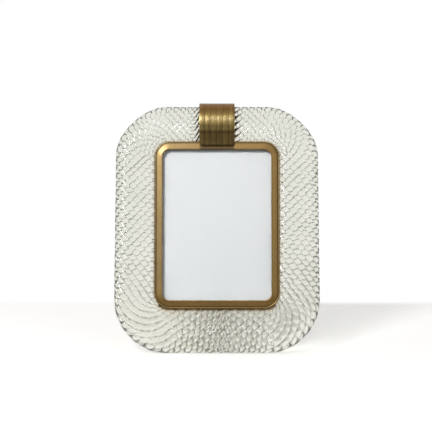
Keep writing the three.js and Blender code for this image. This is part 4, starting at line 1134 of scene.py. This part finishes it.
# Metal mirrors the floor dimly in front of the first y, and as it is behind the second
DIM_Y = (-0.24, -0.14)
WHITE = (1, 1, 1)
# The direction behind the object, and how bright mirrors and glass see the world along it
BEHIND = (-0.35, 0.85, 0.4)
WORLD_LEVELS = ((0.04, 0.06), (0.11, 0.10), (0.17, 0.30), (0.25, 0.48), (0.6, 0.62), (0.76, 1.0))


def whitened(nodes, plain, white):
    """Camera, glossy and transmission rays see the white shader. Other rays see the plain one."""
    path = nodes.add("LightPath").outputs
    seen = path["Is Camera Ray"]
    for name in ("Is Glossy Ray", "Is Transmission Ray"):
        seen = nodes.maths("MAXIMUM", seen, path[name])
    return nodes.blended(seen, plain, white)


def add_floor():
    """Pale floor. On the table round the object it keeps the shadows, and beyond that it is white."""
    corners = [(x * FLOOR_HALF, z * FLOOR_HALF, 0) for x, z in reversed(CORNERS)]
    mesh = bpy.data.meshes.new("floor")
    mesh.from_pydata(corners, [], [(0, 1, 2, 3)])
    floor = linked("floor", mesh)
    floor.location.z = -FLOOR_DROP
    material = bpy.data.materials.new("floor")
    material.use_nodes = True
    nodes = Nodes(material.node_tree)
    plain = nodes.tree.nodes["Principled BSDF"]
    nodes.fill(plain, {"Base Color": (0.86, 0.855, 0.845, 1), "Roughness": 0.9})
    x, y, _ = nodes.axes(nodes.add("TexCoord").outputs["Object"])
    glowing = nodes.ranged(y, TABLE_BACK_Y - 0.02, TABLE_BACK_Y, TABLE_GLOW, 1.0)
    for value, side in ((y, -1), (x, -1), (x, 1)):
        beyond = nodes.ranged(value, side * TABLE_REACH, side * (TABLE_REACH + 0.2), TABLE_GLOW, 1.0)
        glowing = nodes.maths("MAXIMUM", glowing, beyond)
    chalk = nodes.add("BsdfDiffuse", {"Color": (1.5, 1.49, 1.48, 1)}).outputs[0]
    glow = nodes.add("Emission", {"Strength": 1.0}).outputs[0]
    dim = nodes.add("Emission", {"Strength": 0.1}).outputs[0]
    mirrored = nodes.add("LightPath").outputs["Is Glossy Ray"]
    dimmed = nodes.maths("MULTIPLY", nodes.ranged(y, *DIM_Y, 1.0, 0.0), mirrored)
    seen = nodes.blended(dimmed, nodes.blended(glowing, chalk, glow), dim)
    nodes.fill(nodes.tree.nodes["Material Output"], {"Surface": whitened(nodes, plain.outputs[0], seen)})
    mesh.materials.append(material)


def add_world():
    """Plain light for the object. The camera sees white, and mirrors and glass see WORLD_LEVELS."""
    world = bpy.data.worlds.new("studio")
    bpy.context.scene.world = world
    world.use_nodes = True
    nodes = Nodes(world.node_tree)
    plain = nodes.fill(nodes.tree.nodes["Background"], {"Color": (1, 0.995, 0.985, 1), "Strength": 0.42})
    direction = nodes.add("TexCoord").outputs["Generated"]
    to_back = nodes.add("VectorMath", {0: direction, 1: BEHIND}, operation="DOT_PRODUCT").outputs["Value"]
    ramp = nodes.add("ValToRGB", {"Fac": nodes.ranged(to_back, -1, 1)})
    points = ramp.color_ramp.elements
    points[0].position, points[1].position = WORLD_LEVELS[0][0], WORLD_LEVELS[-1][0]
    for position, _ in WORLD_LEVELS[1:-1]:
        points.new(position)
    for point, (_, level) in zip(points, WORLD_LEVELS):
        point.color = (level, level, level, 1)
    camera_ray = nodes.add("LightPath").outputs["Is Camera Ray"]
    seen = nodes.add("Background", {"Color": nodes.mixed(camera_ray, ramp.outputs["Color"], WHITE)})
    shown = whitened(nodes, plain.outputs[0], seen.outputs[0])
    nodes.fill(nodes.tree.nodes["World Output"], {"Surface": shown})


def add_aimed(name, data, azimuth_deg, elevation_deg, distance):
    """Adds a camera or lamp that looks at the aim from an azimuth, an elevation and a distance."""
    azimuth, elevation = math.radians(azimuth_deg), math.radians(elevation_deg)
    flat = math.cos(elevation)
    away = Vector((math.sin(azimuth) * flat, -math.cos(azimuth) * flat, math.sin(elevation)))
    made = linked(name, data)
    made.location = AIM + away * distance
    made.rotation_mode = "QUATERNION"
    made.rotation_quaternion = away.to_track_quat("Z", "Y")
    return made


def add_lamp(name, azimuth_deg, elevation_deg, distance, size, power, colour):
    light = bpy.data.lights.new(name, "AREA")
    light.shape = "RECTANGLE"
    light.size, light.size_y = size
    light.energy = power
    light.color = colour
    add_aimed(name, light, azimuth_deg, elevation_deg, distance).visible_transmission = False


add_floor()
add_world()
add_lamp("main", -32, 38, 1.6, (0.38, 0.36), 11.3, (1, 0.985, 0.96))
add_lamp("fill", 47, 15, 1.9, (1.0, 0.8), 3.5, (0.97, 0.985, 1))
lens = bpy.data.cameras.new("camera")
lens.lens = 110.4
bpy.context.scene.camera = add_aimed("camera", lens, 0, 8, 1.5)
bpy.context.scene.view_settings.view_transform = "Standard"
